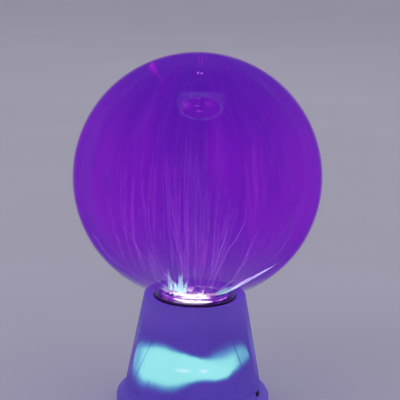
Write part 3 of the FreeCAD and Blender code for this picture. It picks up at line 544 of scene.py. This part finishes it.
def gas_ball(name, radius, alpha, seed):
    """A layer that follows the glass. The widest lies within the glass, so that the glow reaches the edge."""
    low = CENTRE_Z - math.sqrt(radius * radius - (26.9 * MM) ** 2)
    start = math.asin((low - CENTRE_Z) / radius)
    profile = arc(0.0, CENTRE_Z, radius, start, math.pi / 2, 80)
    profile[-1] = (0.0, CENTRE_Z + radius)
    points, faces = lathe(profile[::-1], 144)
    mesh_object(name, points, faces, gas(name, alpha, seed, WALL_GAS, 0.25, 0.135))


def gas_fan(name, wide, waist, top, alpha, seed, wisps):
    """An inner layer: it fans out from the neck to its widest at height waist, and closes at height top."""
    steps, root = 30, 19 * MM
    profile = []
    for i in range(steps + 1):
        t = i / steps
        spread = math.sin(t * math.pi / 2) ** 1.15
        profile.append((root + (wide - root) * spread, ROOT_Z + (waist - ROOT_Z) * t))
    for i in range(1, steps + 1):
        a = math.pi / 2 * i / steps
        profile.append((wide * math.cos(a), waist + (top - waist) * math.sin(a)))
    profile[-1] = (0.0, top)
    points, faces = lathe(profile[::-1], 128)
    mesh_object(name, points, faces, gas(name, alpha, seed, INNER_GAS, wisps, 0.17))


def make_gas():
    gas_ball("gas_rim", 99.2 * MM, 0.58, 0.0)
    gas_ball("gas_wall", 97.6 * MM, 0.32, 5.0)
    gas_ball("gas_lining", 95.4 * MM, 0.24, 11.0)
    gas_fan("gas_outer", 86 * MM, 200 * MM, 288 * MM, 0.32, 17.0, 0.7)
    gas_fan("gas_middle", 68 * MM, 206 * MM, 284 * MM, 0.36, 23.0, 0.9)
    gas_fan("gas_inner", 46 * MM, 204 * MM, 270 * MM, 0.36, 37.0, 1.0)
    gas_fan("gas_core", 25 * MM, 190 * MM, 246 * MM, 0.3, 51.0, 1.0)


class Sparks:
    """Gathers tapered threads and flat veils into one mesh with a colour and a solidity at each point."""

    def __init__(self):
        self.points, self.faces, self.tints, self.solids = [], [], [], []

    def thread(self, line, radii, tints, solids, sides=6):
        """A round thread along a line of points."""
        start = len(self.points)
        line = [Vector(p) for p in line]
        for i, at in enumerate(line):
            way = (line[min(i + 1, len(line) - 1)] - line[max(i - 1, 0)]).normalized()
            side = way.orthogonal().normalized()
            other = way.cross(side)
            for k in range(sides):
                a = 2 * math.pi * k / sides
                self.points.append(at + (side * math.cos(a) + other * math.sin(a)) * radii[i])
                self.tints.append(tints[i])
                self.solids.append(solids[i])
            if i:
                low, high = start + (i - 1) * sides, start + i * sides
                for k in range(sides):
                    n = (k + 1) % sides
                    self.faces.append((low + k, low + n, high + n, high + k))

    def veil(self, line, across, widths, tints, solids):
        """A flat soft band along a line: solid in the middle and fading to nothing at its edges."""
        start, cross = len(self.points), (-1.0, -0.55, 0.0, 0.55, 1.0)
        for i, at in enumerate(line):
            for c in cross:
                self.points.append(Vector(at) + across[i] * widths[i] * c)
                self.tints.append(tints[i])
                self.solids.append(solids[i] * (1 - abs(c)) ** 1.3)
            if i:
                for k in range(len(cross) - 1):
                    low, high = start + (i - 1) * len(cross) + k, start + i * len(cross) + k
                    self.faces.append((low, low + 1, high + 1, high))

    def make(self, name, material):
        return mesh_object(name, self.points, self.faces, material, tints=self.tints, solids=self.solids)


def blend_colours(t, stops):
    """The colour at t between stops of (place, colour)."""
    places = [s[0] for s in stops]
    i = min(max(bisect.bisect_right(places, t), 1), len(stops) - 1)
    (a, first), (b, last) = stops[i - 1], stops[i]
    k = min(max((t - a) / (b - a), 0.0), 1.0)
    return tuple(p + (q - p) * k for p, q in zip(first, last))


def flow_line(rng, angle, start, end, rise, wander, steps=44):
    """A line that leaves the dome at radius start, fans out to radius end as it climbs, and sways."""
    seed = rng.uniform(0, 100)
    line = []
    for i in range(steps + 1):
        t = i / steps
        z = ROOT_Z - 3 * MM + rise * t**1.08
        sway = noise.noise(Vector((t * 2.6 + seed, end * 40, seed))) * wander * (0.3 + t)
        sway += noise.noise(Vector((t * 10.0 + seed, 7.0, seed))) * wander * 0.14
        r = start + (end - start) * math.sin(t * math.pi / 2) ** 1.1
        r += noise.noise(Vector((seed, t * 4.5, 3.0))) * 5 * MM * t
        r = min(max(r, 1 * MM), 0.97 * max(reach_at(z), 22 * MM))
        line.append((r * math.sin(angle + sway), -r * math.cos(angle + sway), z))
    return line


def climb(point):
    """The streamers start faint just over the neck and gather strength as they rise."""
    t = min(max((point[2] - 106 * MM) / (54 * MM), 0.0), 1.0)
    return 0.04 + 0.96 * t * t * (3 - 2 * t)


def make_streamers():
    """Fine wisps that rise in loose bundles, most of them near the axis, and broad soft veils behind them."""
    rng = random.Random(662)
    fine, broad = Sparks(), Sparks()
    stops = ((0, VIOLET), (0.3, STREAMER_LOW), (0.7, STREAMER_HIGH), (1, VIOLET))
    bundles = 34
    for b in range(bundles):
        middle = 2 * math.pi * (b * 0.618 % 1.0)
        share = ((b + 0.5) / bundles) ** 1.5
        end = (10 + 76 * share) * MM
        rise = rng.uniform(0.6, 1.0) * (150 - 75 * share) * MM
        start = rng.uniform(3, 21) * MM
        for _ in range(rng.randint(3, 6)):
            turned = middle + rng.gauss(0, 0.1)
            line = flow_line(rng, turned, start, end * rng.uniform(0.86, 1.12), rise, 0.2)
            ts = [i / (len(line) - 1) for i in range(len(line))]
            thick = rng.choice((0.16, 0.2, 0.24, 0.3)) * MM
            radii = [thick * (1.0 - 0.5 * t) for t in ts]
            pale = rng.uniform(0.0, 1.0)
            tints = [blend_colours(t, stops) for t in ts]
            tints = [tuple(p + (q - p) * 0.3 * pale for p, q in zip(tint, ICE)) for tint in tints]
            solids = [climb(p) * (1 - t) ** 0.6 * rng.uniform(0.85, 1.0) for t, p in zip(ts, line)]
            fine.thread(line, radii, tints, solids, 5)
    for b in range(30):
        angle = 2 * math.pi * (b * 0.618 % 1.0) + rng.uniform(-0.2, 0.2)
        share = rng.uniform(0.45, 1.0)
        start = rng.uniform(10, 20) * MM
        line = flow_line(rng, angle, start, 92 * MM * share, rng.uniform(90, 135) * MM, 0.12)
        ts = [i / (len(line) - 1) for i in range(len(line))]
        across = [Vector((-y, x, 0)).normalized() for x, y, _ in line]
        wide = rng.uniform(4.0, 12.0) * MM
        widths = [wide * (0.3 + 1.2 * t) for t in ts]
        solids = [climb(p) * (1 - t) ** 0.8 * 0.5 for t, p in zip(ts, line)]
        broad.veil(line, across, widths, [VEIL] * len(ts), solids)
    fine.make("streamers_fine", spark("streamer_light", 4.6, 0.8))
    broad.make("streamers_broad", spark("veil_light", 1.8, 0.6))


def smooth_line(corners, steps):
    """A smooth line through corners, by cubic pieces."""
    corners = [Vector(c) * MM for c in corners]
    line = []
    for i in range(len(corners) - 1):
        before = corners[max(i - 1, 0)]
        after = corners[min(i + 2, len(corners) - 1)]
        a, b = corners[i], corners[i + 1]
        for k in range(steps):
            t = k / steps
            line.append(0.5 * (
                2 * a + (b - before) * t + (2 * before - 5 * a + 4 * b - after) * t * t
                + (3 * a - before - 3 * b + after) * t**3
            ))
    return line + [corners[-1]]


def jitter(line, amount, seed, pitch=90.0):
    """The same line pushed about like lightning, but not at its ends."""
    out = []
    for i, p in enumerate(line):
        t = i / (len(line) - 1)
        push = noise.noise_vector(Vector(p) * pitch + Vector((seed, seed * 2.0, 0))) * amount
        out.append(Vector(p) + push * math.sin(math.pi * t))
    return out


def make_filament():
    """The strong filament that leaves to the right and climbs the glass, with thinner ones beside it."""
    arcs = Sparks()
    main = (
        (17, -17, 104.5), (20.3, -18, 105.9), (26.5, -20.9, 109.5), (32.6, -28.8, 115.4),
        (39.2, -38.2, 122.6), (45.8, -45.8, 129.1), (52.5, -48.9, 134.2), (59.7, -44.0, 137.0),
        (65.5, -38.5, 139.6),
    )
    for lift, out, thick, glow, reach, root, tint in (
        (0.0, 0.0, 1.15, 1.0, 1.0, 0.12, ICE),
        (0.7, 0.3, 0.6, 0.9, 0.86, 0.3, ICE),
        (-0.8, -0.2, 0.45, 0.8, 0.9, 0.3, ICE),
        (2.4, -0.6, 0.3, 0.6, 0.7, 0.2, PINK),
        (5.0, -1.0, 0.34, 0.6, 0.72, 0.1, PINK),
        (2.2, 0.5, 0.42, 0.9, 0.36, 0.6, MINT),
        (3.6, -1.2, 0.4, 0.9, 0.3, 0.6, MINT),
        (-0.4, 0.6, 0.5, 0.9, 0.42, 0.6, MINT),
        (5.0, -1.5, 0.26, 0.7, 0.22, 0.6, MINT),
    ):
        corners = [(x + out, y + out, z + lift * min(i / 2.0, 1.0)) for i, (x, y, z) in enumerate(main)]
        line = smooth_line(corners, 7)
        line = jitter(line[: max(int(len(line) * reach), 8)], (0.4 + 0.22 * abs(lift)) * MM, lift * 9 + 2)
        ts = [i / (len(line) - 1) for i in range(len(line))]
        swell = [root + (1 - root) * math.sin(math.pi * t**0.85) ** 0.8 for t in ts]
        radii = [thick * MM * k * (1.02 - t**5) for k, t in zip(swell, ts)]
        stops = (
            (0, scaled(ROSE, 0.3)), (0.1, scaled(MINT, 0.3)), (0.28, scaled(PALE_MINT, 0.5)), (0.42, tint),
            (1, scaled(tint, 1.5)),
        )
        tints = [blend_colours(t * reach, stops) for t in ts]
        arcs.thread(line, radii, tints, [glow * (1 - t**4) for t in ts], 8)
    arcs.make("wall_filament", spark("filament_light", 3.4, 0.95))


def make_far_touches():
    """A thin streamer that meets the glass high on the left, and the two painted glints under the ball's
    pole.
    """
    touch = Sparks()
    ray = smooth_line((
        (-38.5, 3, 286), (-36, -14, 285.6), (-32, -29.7, 283.5), (-27.7, -43, 279.2), (-24.4, -51.6, 275.2),
        (-21, -60, 268),
    ), 8)
    ts = [i / (len(ray) - 1) for i in range(len(ray))]
    radii = [(1.5 - 1.0 * t) * MM for t in ts]
    touch.thread(ray, radii, [HOT_PINK] * len(ts), [0.4 * (1 - t) ** 1.3 for t in ts], 8)
    knot = smooth_line(((-38.3, 2, 287.0), (-36.6, -9, 286.2), (-34.6, -20, 285.0)), 6)
    ts = [i / (len(knot) - 1) for i in range(len(knot))]
    for radius, cover in ((1.4, 0.3), (2.6, 0.16), (4.2, 0.1)):
        radii = [radius * MM * math.sin(math.pi * (0.08 + 0.84 * t)) for t in ts]
        touch.thread(knot, radii, [HOT_PINK] * len(ts), [cover] * len(ts), 10)
    touch.make("high_touch", spark("touch_light", 2.2, 0.8))
    # Painted highlights: two glints under the pole and two faint streaks above them, drawn as glowing
    # threads.
    glints = Sparks()
    for x, low, high, thick, tint, cover in (
        (-1.5, 280.9, 283.0, 0.85, GLINT, 1.0),
        (1.4, 280.5, 282.6, 0.8, GLINT, 1.0),
        (-1.2, 287.0, 296.4, 0.4, HOT_PINK, 0.1),
        (1.6, 287.0, 296.4, 0.4, HOT_PINK, 0.1),
    ):
        line = [(x * MM, 0, (low + (high - low) * k / 8) * MM) for k in range(9)]
        radii = [thick * MM * math.sin(math.pi * (k + 0.4) / 8.8) for k in range(9)]
        glints.thread(line, radii, [tint] * 9, [cover] * 9, 8)
    glints.make("pole_glints", spark("glint_light", 6.0, 0.95))


def make_neck_image():
    """A painted reflection: the neck as the far wall mirrors it, small, drawn as glowing sheets: a pale ring,
    its glow and the base's edge above.
    """
    middle_x, middle_z, wide, high = 1.4, 254.1, 16.6, 9.2
    image = Sparks()

    def grid(place, shade, across, around):
        start = len(image.points)
        for i in range(across + 1):
            for k in range(around + 1):
                u, v = i / across, k / around
                x, z = place(u, v)
                tint, cover = shade(x, z, u, v)
                image.points.append((x * MM, 0.0, z * MM))
                image.tints.append(tint)
                image.solids.append(cover)
        for i in range(across):
            for k in range(around):
                a = start + i * (around + 1) + k
                image.faces.append((a, a + 1, a + around + 2, a + around + 1))

    def ellipse(size, turn):
        return middle_x + wide * size * math.cos(turn), middle_z + high * size * math.sin(turn)

    def ring_place(u, v):
        return ellipse(1.0 + (u - 0.5) * 0.26, 2 * math.pi * v)

    def disc_place(u, v):
        return ellipse(0.92 * u, 2 * math.pi * v)

    def arch_place(u, v):
        turn = math.pi * (0.02 + 0.96 * v)
        x, z = ellipse(1.04, turn)
        top_x = middle_x + 21.5 * math.cos(turn) * (1.0 - 0.12 * math.sin(turn))
        top_z = 254 + 14.0 * min(1.0, 1.9 * math.sin(turn))
        return x + (top_x - x) * u, z + (top_z - z) * u

    def near(x, z, at, size):
        return math.exp(-((x - at[0]) ** 2 + (z - at[1]) ** 2) / (size * size))

    def ring_shade(_x, _z, u, _v):
        return IMAGE_PALE, 0.4 * math.sin(math.pi * u) ** 1.2

    def disc_shade(x, z, _u, _v):
        wisp = max(0.0, noise.noise(Vector((x * 0.25, z * 0.4, 4.0)))) * 0.8
        left, right = near(x, z, (-11.0, 256.4), 3.4), near(x, z, (8.4, 257.8), 2.6)
        dots = near(x, z, (-3.6, 262.0), 0.9) + near(x, z, (-0.6, 261.8), 0.9)
        streak = near(x, z, (1.0, 254.0), 4.0) * wisp * 5
        heat = min(left * 0.9 + right * 0.75 + dots + streak + wisp * 0.25, 1.0)
        return blend_colours(heat, ((0, IMAGE_DEEP), (0.5, HOT_PINK), (1, GLINT))), 0.3 + 0.6 * heat

    def arch_shade(_x, _z, u, v):
        across = math.sin(math.pi * min(u + 0.12, 1.0)) ** 0.7
        return IMAGE_PALE, 0.42 * across * math.sin(math.pi * v) ** 0.4

    grid(arch_place, arch_shade, 6, 40)
    grid(disc_place, disc_shade, 12, 48)
    grid(ring_place, ring_shade, 6, 64)
    image.make("mirrored_neck", spark("image_light", 6.5, 0.85))


def make_burst():
    """The mint and white burst at the left of the neck, and the smaller tufts beside it."""
    rng = random.Random(5)
    burst = Sparks()

    def tuft(root, tip, thick, stops, curl, fade=3.0):
        sway = Vector((rng.uniform(-1, 1), rng.uniform(-1, 1), rng.uniform(-0.3, 0.3))) * curl
        middle = (Vector(root) + Vector(tip)) / 2 + sway
        line = jitter(smooth_line((root, middle, tip), 8), 0.5 * MM, rng.uniform(0, 50), 160.0)
        ts = [i / (len(line) - 1) for i in range(len(line))]
        radii = [thick * MM * (1 - t) ** 0.8 + 0.04 * MM for t in ts]
        solids = [(1 - t**fade) * 0.95 for t in ts]
        burst.thread(line, radii, [blend_colours(t, stops) for t in ts], solids, 6)

    cold = (
        (0, scaled(HOT, 0.8)), (0.25, scaled(PALE_MINT, 0.7)), (0.6, scaled(PALE_MINT, 0.95)),
        (1, scaled(PALE_MINT, 1.3)),
    )
    cool = ((0, scaled(PALE_MINT, 0.5)), (0.5, scaled(ICE, 0.5)), (1, scaled(PINK, 1.2)))
    warm = ((0, scaled(HOT, 0.6)), (0.4, scaled(ROSE, 0.7)), (1, scaled(PINK, 0.8)))
    haze = ((0, scaled(MINT, 0.3)), (1, scaled(MINT, 0.3)))
    depth = -14
    for x, z, thick in (
        (-11.2, 124.4, 0.9), (-12.4, 119.5, 1.3), (-14.0, 117.5, 1.3), (-10.6, 116, 1.0), (-6.4, 117.2, 0.7),
        (-8.0, 112.6, 1.1), (-19.8, 117.4, 0.8), (-22.4, 124.0, 0.5), (-17.6, 115, 1.1), (-16.0, 116, 1.1),
        (-11.8, 122, 1.0),
    ):
        for _ in range(3):
            root = (x * 0.6 - 4.6 + rng.uniform(-2, 2), depth + rng.uniform(-3, 3), 104)
            end = (x + rng.gauss(0, 0.6), depth + rng.gauss(0, 1.5), z - abs(rng.gauss(0, 1.6)))
            tuft(root, end, thick * rng.uniform(0.5, 0.95), cold, 0.8)
    for _ in range(12):
        root = (rng.uniform(-17, -7), depth + rng.uniform(-3, 3), 104)
        tip = (root[0] * 1.05 + rng.gauss(0, 1.2), depth + rng.gauss(0, 2), rng.uniform(107, 112))
        tuft(root, tip, 0.8, cold, 0.9)
    for tip in ((-28.8, -14, 127.4), (-27.2, -14, 124.5), (-24.0, -13, 126), (-27.5, -13, 119)):
        tuft((-17, depth, 112), tip, 0.42, cool, 1.0, 1.6)
    for _ in range(14):
        root = (rng.uniform(-20, -16), depth, 106)
        tuft(root, (rng.uniform(-30, -23), depth + 2, rng.uniform(107, 114)), 0.5, haze, 1.6, 0.8)
    for _ in range(14):
        root = (rng.uniform(-6, -1), depth + rng.uniform(-2, 2), 107)
        tuft(root, (root[0] + 1 + rng.uniform(-1, 2.0), depth, rng.uniform(109, 111.6)), 0.8, warm, 1.4)
    for tip in ((8.2, -14, 113.6), (10.4, -14, 109.6), (3.6, -14, 111.0), (6.0, -14, 110.0)):
        tuft((6.4, -16, 105), tip, 0.26, warm, 0.8)
    burst.make("neck_burst", spark("burst_light", 4.0, 0.95))


def stroke_light(g, heat, strength, alpha):
    """Light that goes from violet through rose to white with its heat."""
    colour = g.ramp(
        heat, (0.3, linear(112, 46, 180)), (0.46, linear(190, 96, 212)), (0.6, linear(240, 186, 244)),
        (0.75, linear(255, 250, 252)),
    )
    return g.glow(colour, strength, alpha)


def crown_material():
    """White-hot gas on the dome, hottest towards the front, breaking up into rose and violet strokes."""
    g = Graph("crown_light")
    where = g.place()
    x, y, z = g.split(where)
    strokes = g.noise(g.vector(g.times(x, 0.45), y, g.times(z, 1.6)), 190.0, 4.0, 0.6, 0.5)
    broad = g.noise(where, 70.0, 2.0)
    front = g.range(g.math("ABSOLUTE", g.add(x, 1 * MM)), 5 * MM, 22 * MM, 1.0, 0.0)
    near = g.range(y, -2 * MM, 12 * MM, 1.0, 0.2)
    middle = g.times(g.times(front, near), 0.3)
    heat = g.add(g.add(middle, g.times(strokes, 0.66)), g.times(broad, 0.24))
    return stroke_light(g, heat, 1.9, g.range(heat, 0.5, 0.68, 0.0, 1.0))


def bend_material():
    """A painted reflection of the discharge in the glass bend, which also stands for glow in the gap under
    the bend: a white stroke in front and rose ones beside it.
    """
    g = Graph("bend_light")
    where = g.place()
    x, y, z = g.split(where)
    angle = g.math("ARCTAN2", x, g.times(y, -1.0))
    along = g.vector(g.math("SINE", angle), g.math("COSINE", angle), g.times(z, 210.0))
    strokes = g.noise(along, 5.0, 4.0, 0.62, 0.6)
    wide = g.math("ABSOLUTE", g.add(angle, 0.06))
    middle = g.add(g.times(angle, -1.2 * MM), 101.5 * MM)
    half = g.range(wide, 0.1, 0.72, 2.4 * MM, 0.7 * MM)
    level = g.range(g.math("DIVIDE", g.math("ABSOLUTE", g.less(z, middle)), half), 0.45, 1.1, 1.0, 0.0)
    white = g.range(wide, 0.45, 0.74, 1.0, 0.0)
    rose = g.range(g.math("ABSOLUTE", g.less(g.math("ABSOLUTE", angle), 1.02)), 0.1, 0.45, 0.56, 0.0)
    rear = g.range(g.math("ABSOLUTE", angle), 1.7, 2.6, 0.0, 0.7)
    place = g.times(g.math("MAXIMUM", g.math("MAXIMUM", white, rose), rear), level)
    # Here heat is the brightness of the painted reflection.
    heat = g.add(g.times(place, 0.66), g.times(g.less(strokes, 0.5), 1.7))
    heat = g.add(heat, 0.16)
    return stroke_light(g, heat, 1.15, g.range(z, 103.9 * MM, 104.9 * MM, 0.96, 0.0))


def make_crown():
    """A lumpy sheet of light on the dome, strokes of it along the glass, and its painted image in the bend.
    """
    rows = [(r * MM, math.sqrt(DISCHARGE_R**2 - (r * MM) ** 2) + DOME_TOP - DOME_R) for r in range(2, 27, 2)]

    def lump(at):
        p = Vector(at)
        broad, fine = max(0.0, noise.noise(p * 130)), max(0.0, noise.noise(p * 300))
        return (at[0], at[1], at[2] + (broad * 2.0 + fine * 1.0) * MM)

    points, faces = lathe(rows, 160, shape=lump)
    mesh_object("crown", points, faces, crown_material())
    rim = ((27.0, 97.5), (27.1, 99.5), (27.3, 101.5), (27.9, 103.2), (28.8, 104.4), (29.6, 105.2))
    points, faces = lathe([(r * MM, z * MM) for r, z in rim], 160)
    mesh_object("bend_glow", points, faces, bend_material())
    rng = random.Random(31)
    wings = Sparks()
    for count, first, last, low, high, thick, tint, cover in (
        (24, -40, 20, 105.2, 107.0, 0.8, HOT, 1.0),
        (12, -50, 30, 105.0, 108.6, 0.5, scaled(ROSE, 0.7), 0.9),
        (26, -80, -38, 105.0, 107.6, 0.8, scaled(PALE_ROSE, 0.62), 0.9),
        (26, 20, 80, 105.4, 107.2, 0.62, scaled(PALE_ROSE, 0.6), 0.9),
        (26, 82, 280, 99.5, 102.5, 0.5, scaled(PINK, 0.5), 0.35),
    ):
        for _ in range(count):
            middle = math.radians(rng.uniform(first, last))
            span = math.radians(rng.uniform(9, 26))
            height, radius, seed = rng.uniform(low, high), rng.uniform(24.2, 26.6), rng.uniform(0, 50)
            line = []
            for k in range(13):
                a = middle + span * (k / 12 - 0.5)
                lift = noise.noise(Vector((a * 7, seed, 0))) * 1.1
                drop = 1.6 * max(a - 0.8, 0.0) if a < 1.5 else 0.0
                z = (height + lift - drop) * MM
                line.append((radius * MM * math.sin(a), -radius * MM * math.cos(a), z))
            wide = thick * rng.uniform(0.5, 1.1) * MM
            radii = [wide * math.sin(math.pi * (k + 0.2) / 12.4) ** 0.8 for k in range(13)]
            solids = [cover * math.sin(math.pi * (k + 0.5) / 13) ** 0.5 for k in range(13)]
            wings.thread(line, radii, [tint] * 13, solids, 6)
    wings.make("crown_wings", spark("wing_light", 1.9, 0.95))


# ---------------------------------------------------------------- the base's frosted wall
def part_of_mesh(source, name, keep, material):
    """A copy of some faces of a CAD node, with its corners sharp and its curves smooth as they were."""
    mesh = source.data.copy()
    mesh.name = name
    faces = [p.index for p in mesh.polygons if not keep(mesh, p)]
    made = bpy.data.objects.new(name, mesh)
    bpy.context.scene.collection.objects.link(made)
    bm = bmesh.new()
    bm.from_mesh(mesh)
    bm.faces.ensure_lookup_table()
    bmesh.ops.delete(bm, geom=[bm.faces[i] for i in faces], context="FACES")
    bm.to_mesh(mesh)
    bm.free()
    mesh.materials.clear()
    mesh.materials.append(material)
    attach(made, "base")
    return made


def on_skin(mesh, face):
    """Is this face on the shell's outer cone?"""
    for i in face.vertices:
        x, y, z = mesh.vertices[i].co
        radius = SHELL_FOOT_R - SHELL_SLOPE * (z - SHELL_LOW[2])
        if abs(math.hypot(x, y) - radius) > 0.3 * MM or z > SHELL_HIGH[2] - 0.8 * MM:
            return False
    return abs(face.normal.z) < 0.5


def make_base():
    shell = frame["nodes"]["base_shell"]
    core = part_of_mesh(shell, "shell_core", lambda m, p: not on_skin(m, p), lit_wall("lit_inner_wall"))
    skin = part_of_mesh(shell, "shell_skin", on_skin, frosted("frosted_skin", alpha=skin_alpha))
    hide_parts("base_shell")
    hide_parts("base_shell")


# ---------------------------------------------------------------- finishes of the CAD nodes
def cad_finishes():
    return {
        "clear_glass": clear_glass("stem_glass", 0.3),
        "nickelled_steel": plated("nickelled_steel", (0.62, 0.61, 0.58), 0.25, (1, 1, 1)),
        "brass_terminal": plated("brass_terminal", (0.78, 0.58, 0.28), 0.25),
        "black_plastic": moulded("black_plastic", (0.018, 0.018, 0.022), 0.5),
        "black_chrome": plated("black_chrome", (0.13, 0.06, 0.22), 0.12, (1, 1, 1), 0.05),
        "black_rubber": moulded("black_rubber", (0.010, 0.010, 0.011), 0.6, 1400.0, 0.05),
        "zinc_steel": plated("zinc_steel", (0.62, 0.62, 0.64), 0.3),
        "frosted_plastic": frosted("frosted_foot"),
        "green_board": circuit("green_board", (0.012, 0.11, 0.045), (0.03, 0.22, 0.09)),
        "ferrite": moulded("ferrite", (0.045, 0.045, 0.05), 0.6, 500.0, 0.08),
        "nylon": moulded("nylon", (0.72, 0.7, 0.62), 0.45),
        "taped_winding": wound("taped_winding", (0.66, 0.46, 0.08), 3 * MM),
        "copper_winding": wound("copper_winding", (0.62, 0.22, 0.07), 0.5 * MM, 0.3, Metallic=0.8),
        "sink_aluminium": plated("sink_aluminium", (0.72, 0.73, 0.75), 0.32, (1, 1, 20)),
        "black_epoxy": moulded("black_epoxy", (0.02, 0.02, 0.022), 0.55, 1200.0),
        "capacitor_sleeve": moulded("capacitor_sleeve", (0.02, 0.03, 0.09), 0.3, 300.0, 0.02),
        "film_plastic": moulded("film_plastic", (0.42, 0.06, 0.03), 0.3, 300.0, 0.02),
        "resistor_ceramic": moulded("resistor_ceramic", (0.5, 0.38, 0.22), 0.4, 600.0),
        "white_plastic": moulded("white_plastic", (0.74, 0.75, 0.78), 0.45),
        "white_board": circuit("white_board", (0.75, 0.77, 0.8), (0.55, 0.58, 0.62)),
        "cyan_lamp": lamp_face(),
        "milky_plastic": moulded("milky_plastic", (0.82, 0.86, 0.92), 0.6),
        "slider_plastic": moulded("slider_plastic", (0.012, 0.012, 0.014), 0.42, 700.0, 0.03),
        "red_wire": moulded("red_wire", (0.4, 0.02, 0.02), 0.35, 200.0, 0.02),
        "black_wire": moulded("black_wire", (0.02, 0.02, 0.02), 0.35, 200.0, 0.02),
        "white_wire": moulded("white_wire", (0.7, 0.7, 0.7), 0.35, 200.0, 0.02),
    }


def lamp_face():
    g = Graph("cyan_lamp")
    grain = g.range(g.noise(g.place(), 500.0), 0.3, 0.7, 0.85, 1.0)
    colour = g.mix(grain, linear(120, 220, 210), linear(190, 250, 240))
    return g.finish(g.principled(
        Base_Color=colour, Roughness=0.3, Emission_Color=colour, Emission_Strength=2.5,
    ))


def finish_cad():
    finishes = cad_finishes()
    for entry in frame["record"]["subparts"]:
        slots = frame["nodes"][entry["node"]].data.materials
        slots.clear()
        slots.append(finishes[entry["material_slot"]])


# ---------------------------------------------------------------- studio
def make_studio():
    points = [(-14, -8, 0), (14, -8, 0), (14, 20, 0), (-14, 20, 0)]
    floor_mesh = bpy.data.meshes.new("studio_floor")
    floor_mesh.from_pydata(points, [], [(0, 1, 2, 3)])
    floor_mesh.materials.append(floor_paint("floor_paint"))
    floor = bpy.data.objects.new("studio_floor", floor_mesh)
    bpy.context.scene.collection.objects.link(floor)
    world = bpy.data.worlds.new("studio")
    world.use_nodes = True
    world.node_tree.nodes["Background"].inputs["Color"].default_value = (0.86, 0.84, 1.0, 1.0)
    world.node_tree.nodes["Background"].inputs["Strength"].default_value = 0.46
    bpy.context.scene.world = world
    for name, at, size, power in (
        ("key", (-1.6, -1.4, 2.2), 1.6, 7.0),
        ("fill", (1.9, -1.0, 1.7), 1.6, 3.5),
        ("back", (0.4, 2.2, 2.2), 1.6, 5.0),
    ):
        lamp = bpy.data.lights.new(name, "AREA")
        lamp.size = size
        lamp.energy = power
        lamp.color = (0.95, 0.93, 1.0)
        holder = bpy.data.objects.new(name, lamp)
        holder.location = at
        holder.rotation_euler = (Vector((0, 0, 0.14)) - Vector(at)).to_track_quat("-Z", "Y").to_euler()
        holder.visible_glossy = False
        bpy.context.scene.collection.objects.link(holder)


def make_camera():
    """A metre away and 12 degrees above the horizontal, with the object leaning a little to the right."""
    tilt, roll = math.radians(12), math.radians(1.3)
    centre = Vector((0, 0, CENTRE_Z))
    at = centre + Vector((0, -math.cos(tilt), math.sin(tilt)))
    ahead = (centre - at).normalized()
    right = Vector((1, 0, 0))
    up = right.cross(ahead)
    right, up = right * math.cos(roll) + up * math.sin(roll), up * math.cos(roll) - right * math.sin(roll)
    aim = (ahead + right * 0.0020 - up * 0.0185).normalized()
    lens = bpy.data.cameras.new("camera")
    lens.lens = 111.9
    lens.sensor_width = 36
    camera = bpy.data.objects.new("camera", lens)
    back = -aim
    side = up.cross(back).normalized()
    top = back.cross(side)
    camera.matrix_world = Matrix.Translation(at) @ Matrix((side, top, back)).transposed().to_4x4()
    bpy.context.scene.collection.objects.link(camera)
    bpy.context.scene.camera = camera


scene = bpy.context.scene
scene.view_settings.view_transform = "Standard"
scene.cycles.transparent_max_bounces = 64
make_camera()
make_studio()
finish_cad()
make_base()
make_globe()
make_gas()
make_streamers()
make_filament()
make_far_touches()
make_neck_image()
make_burst()
make_crown()
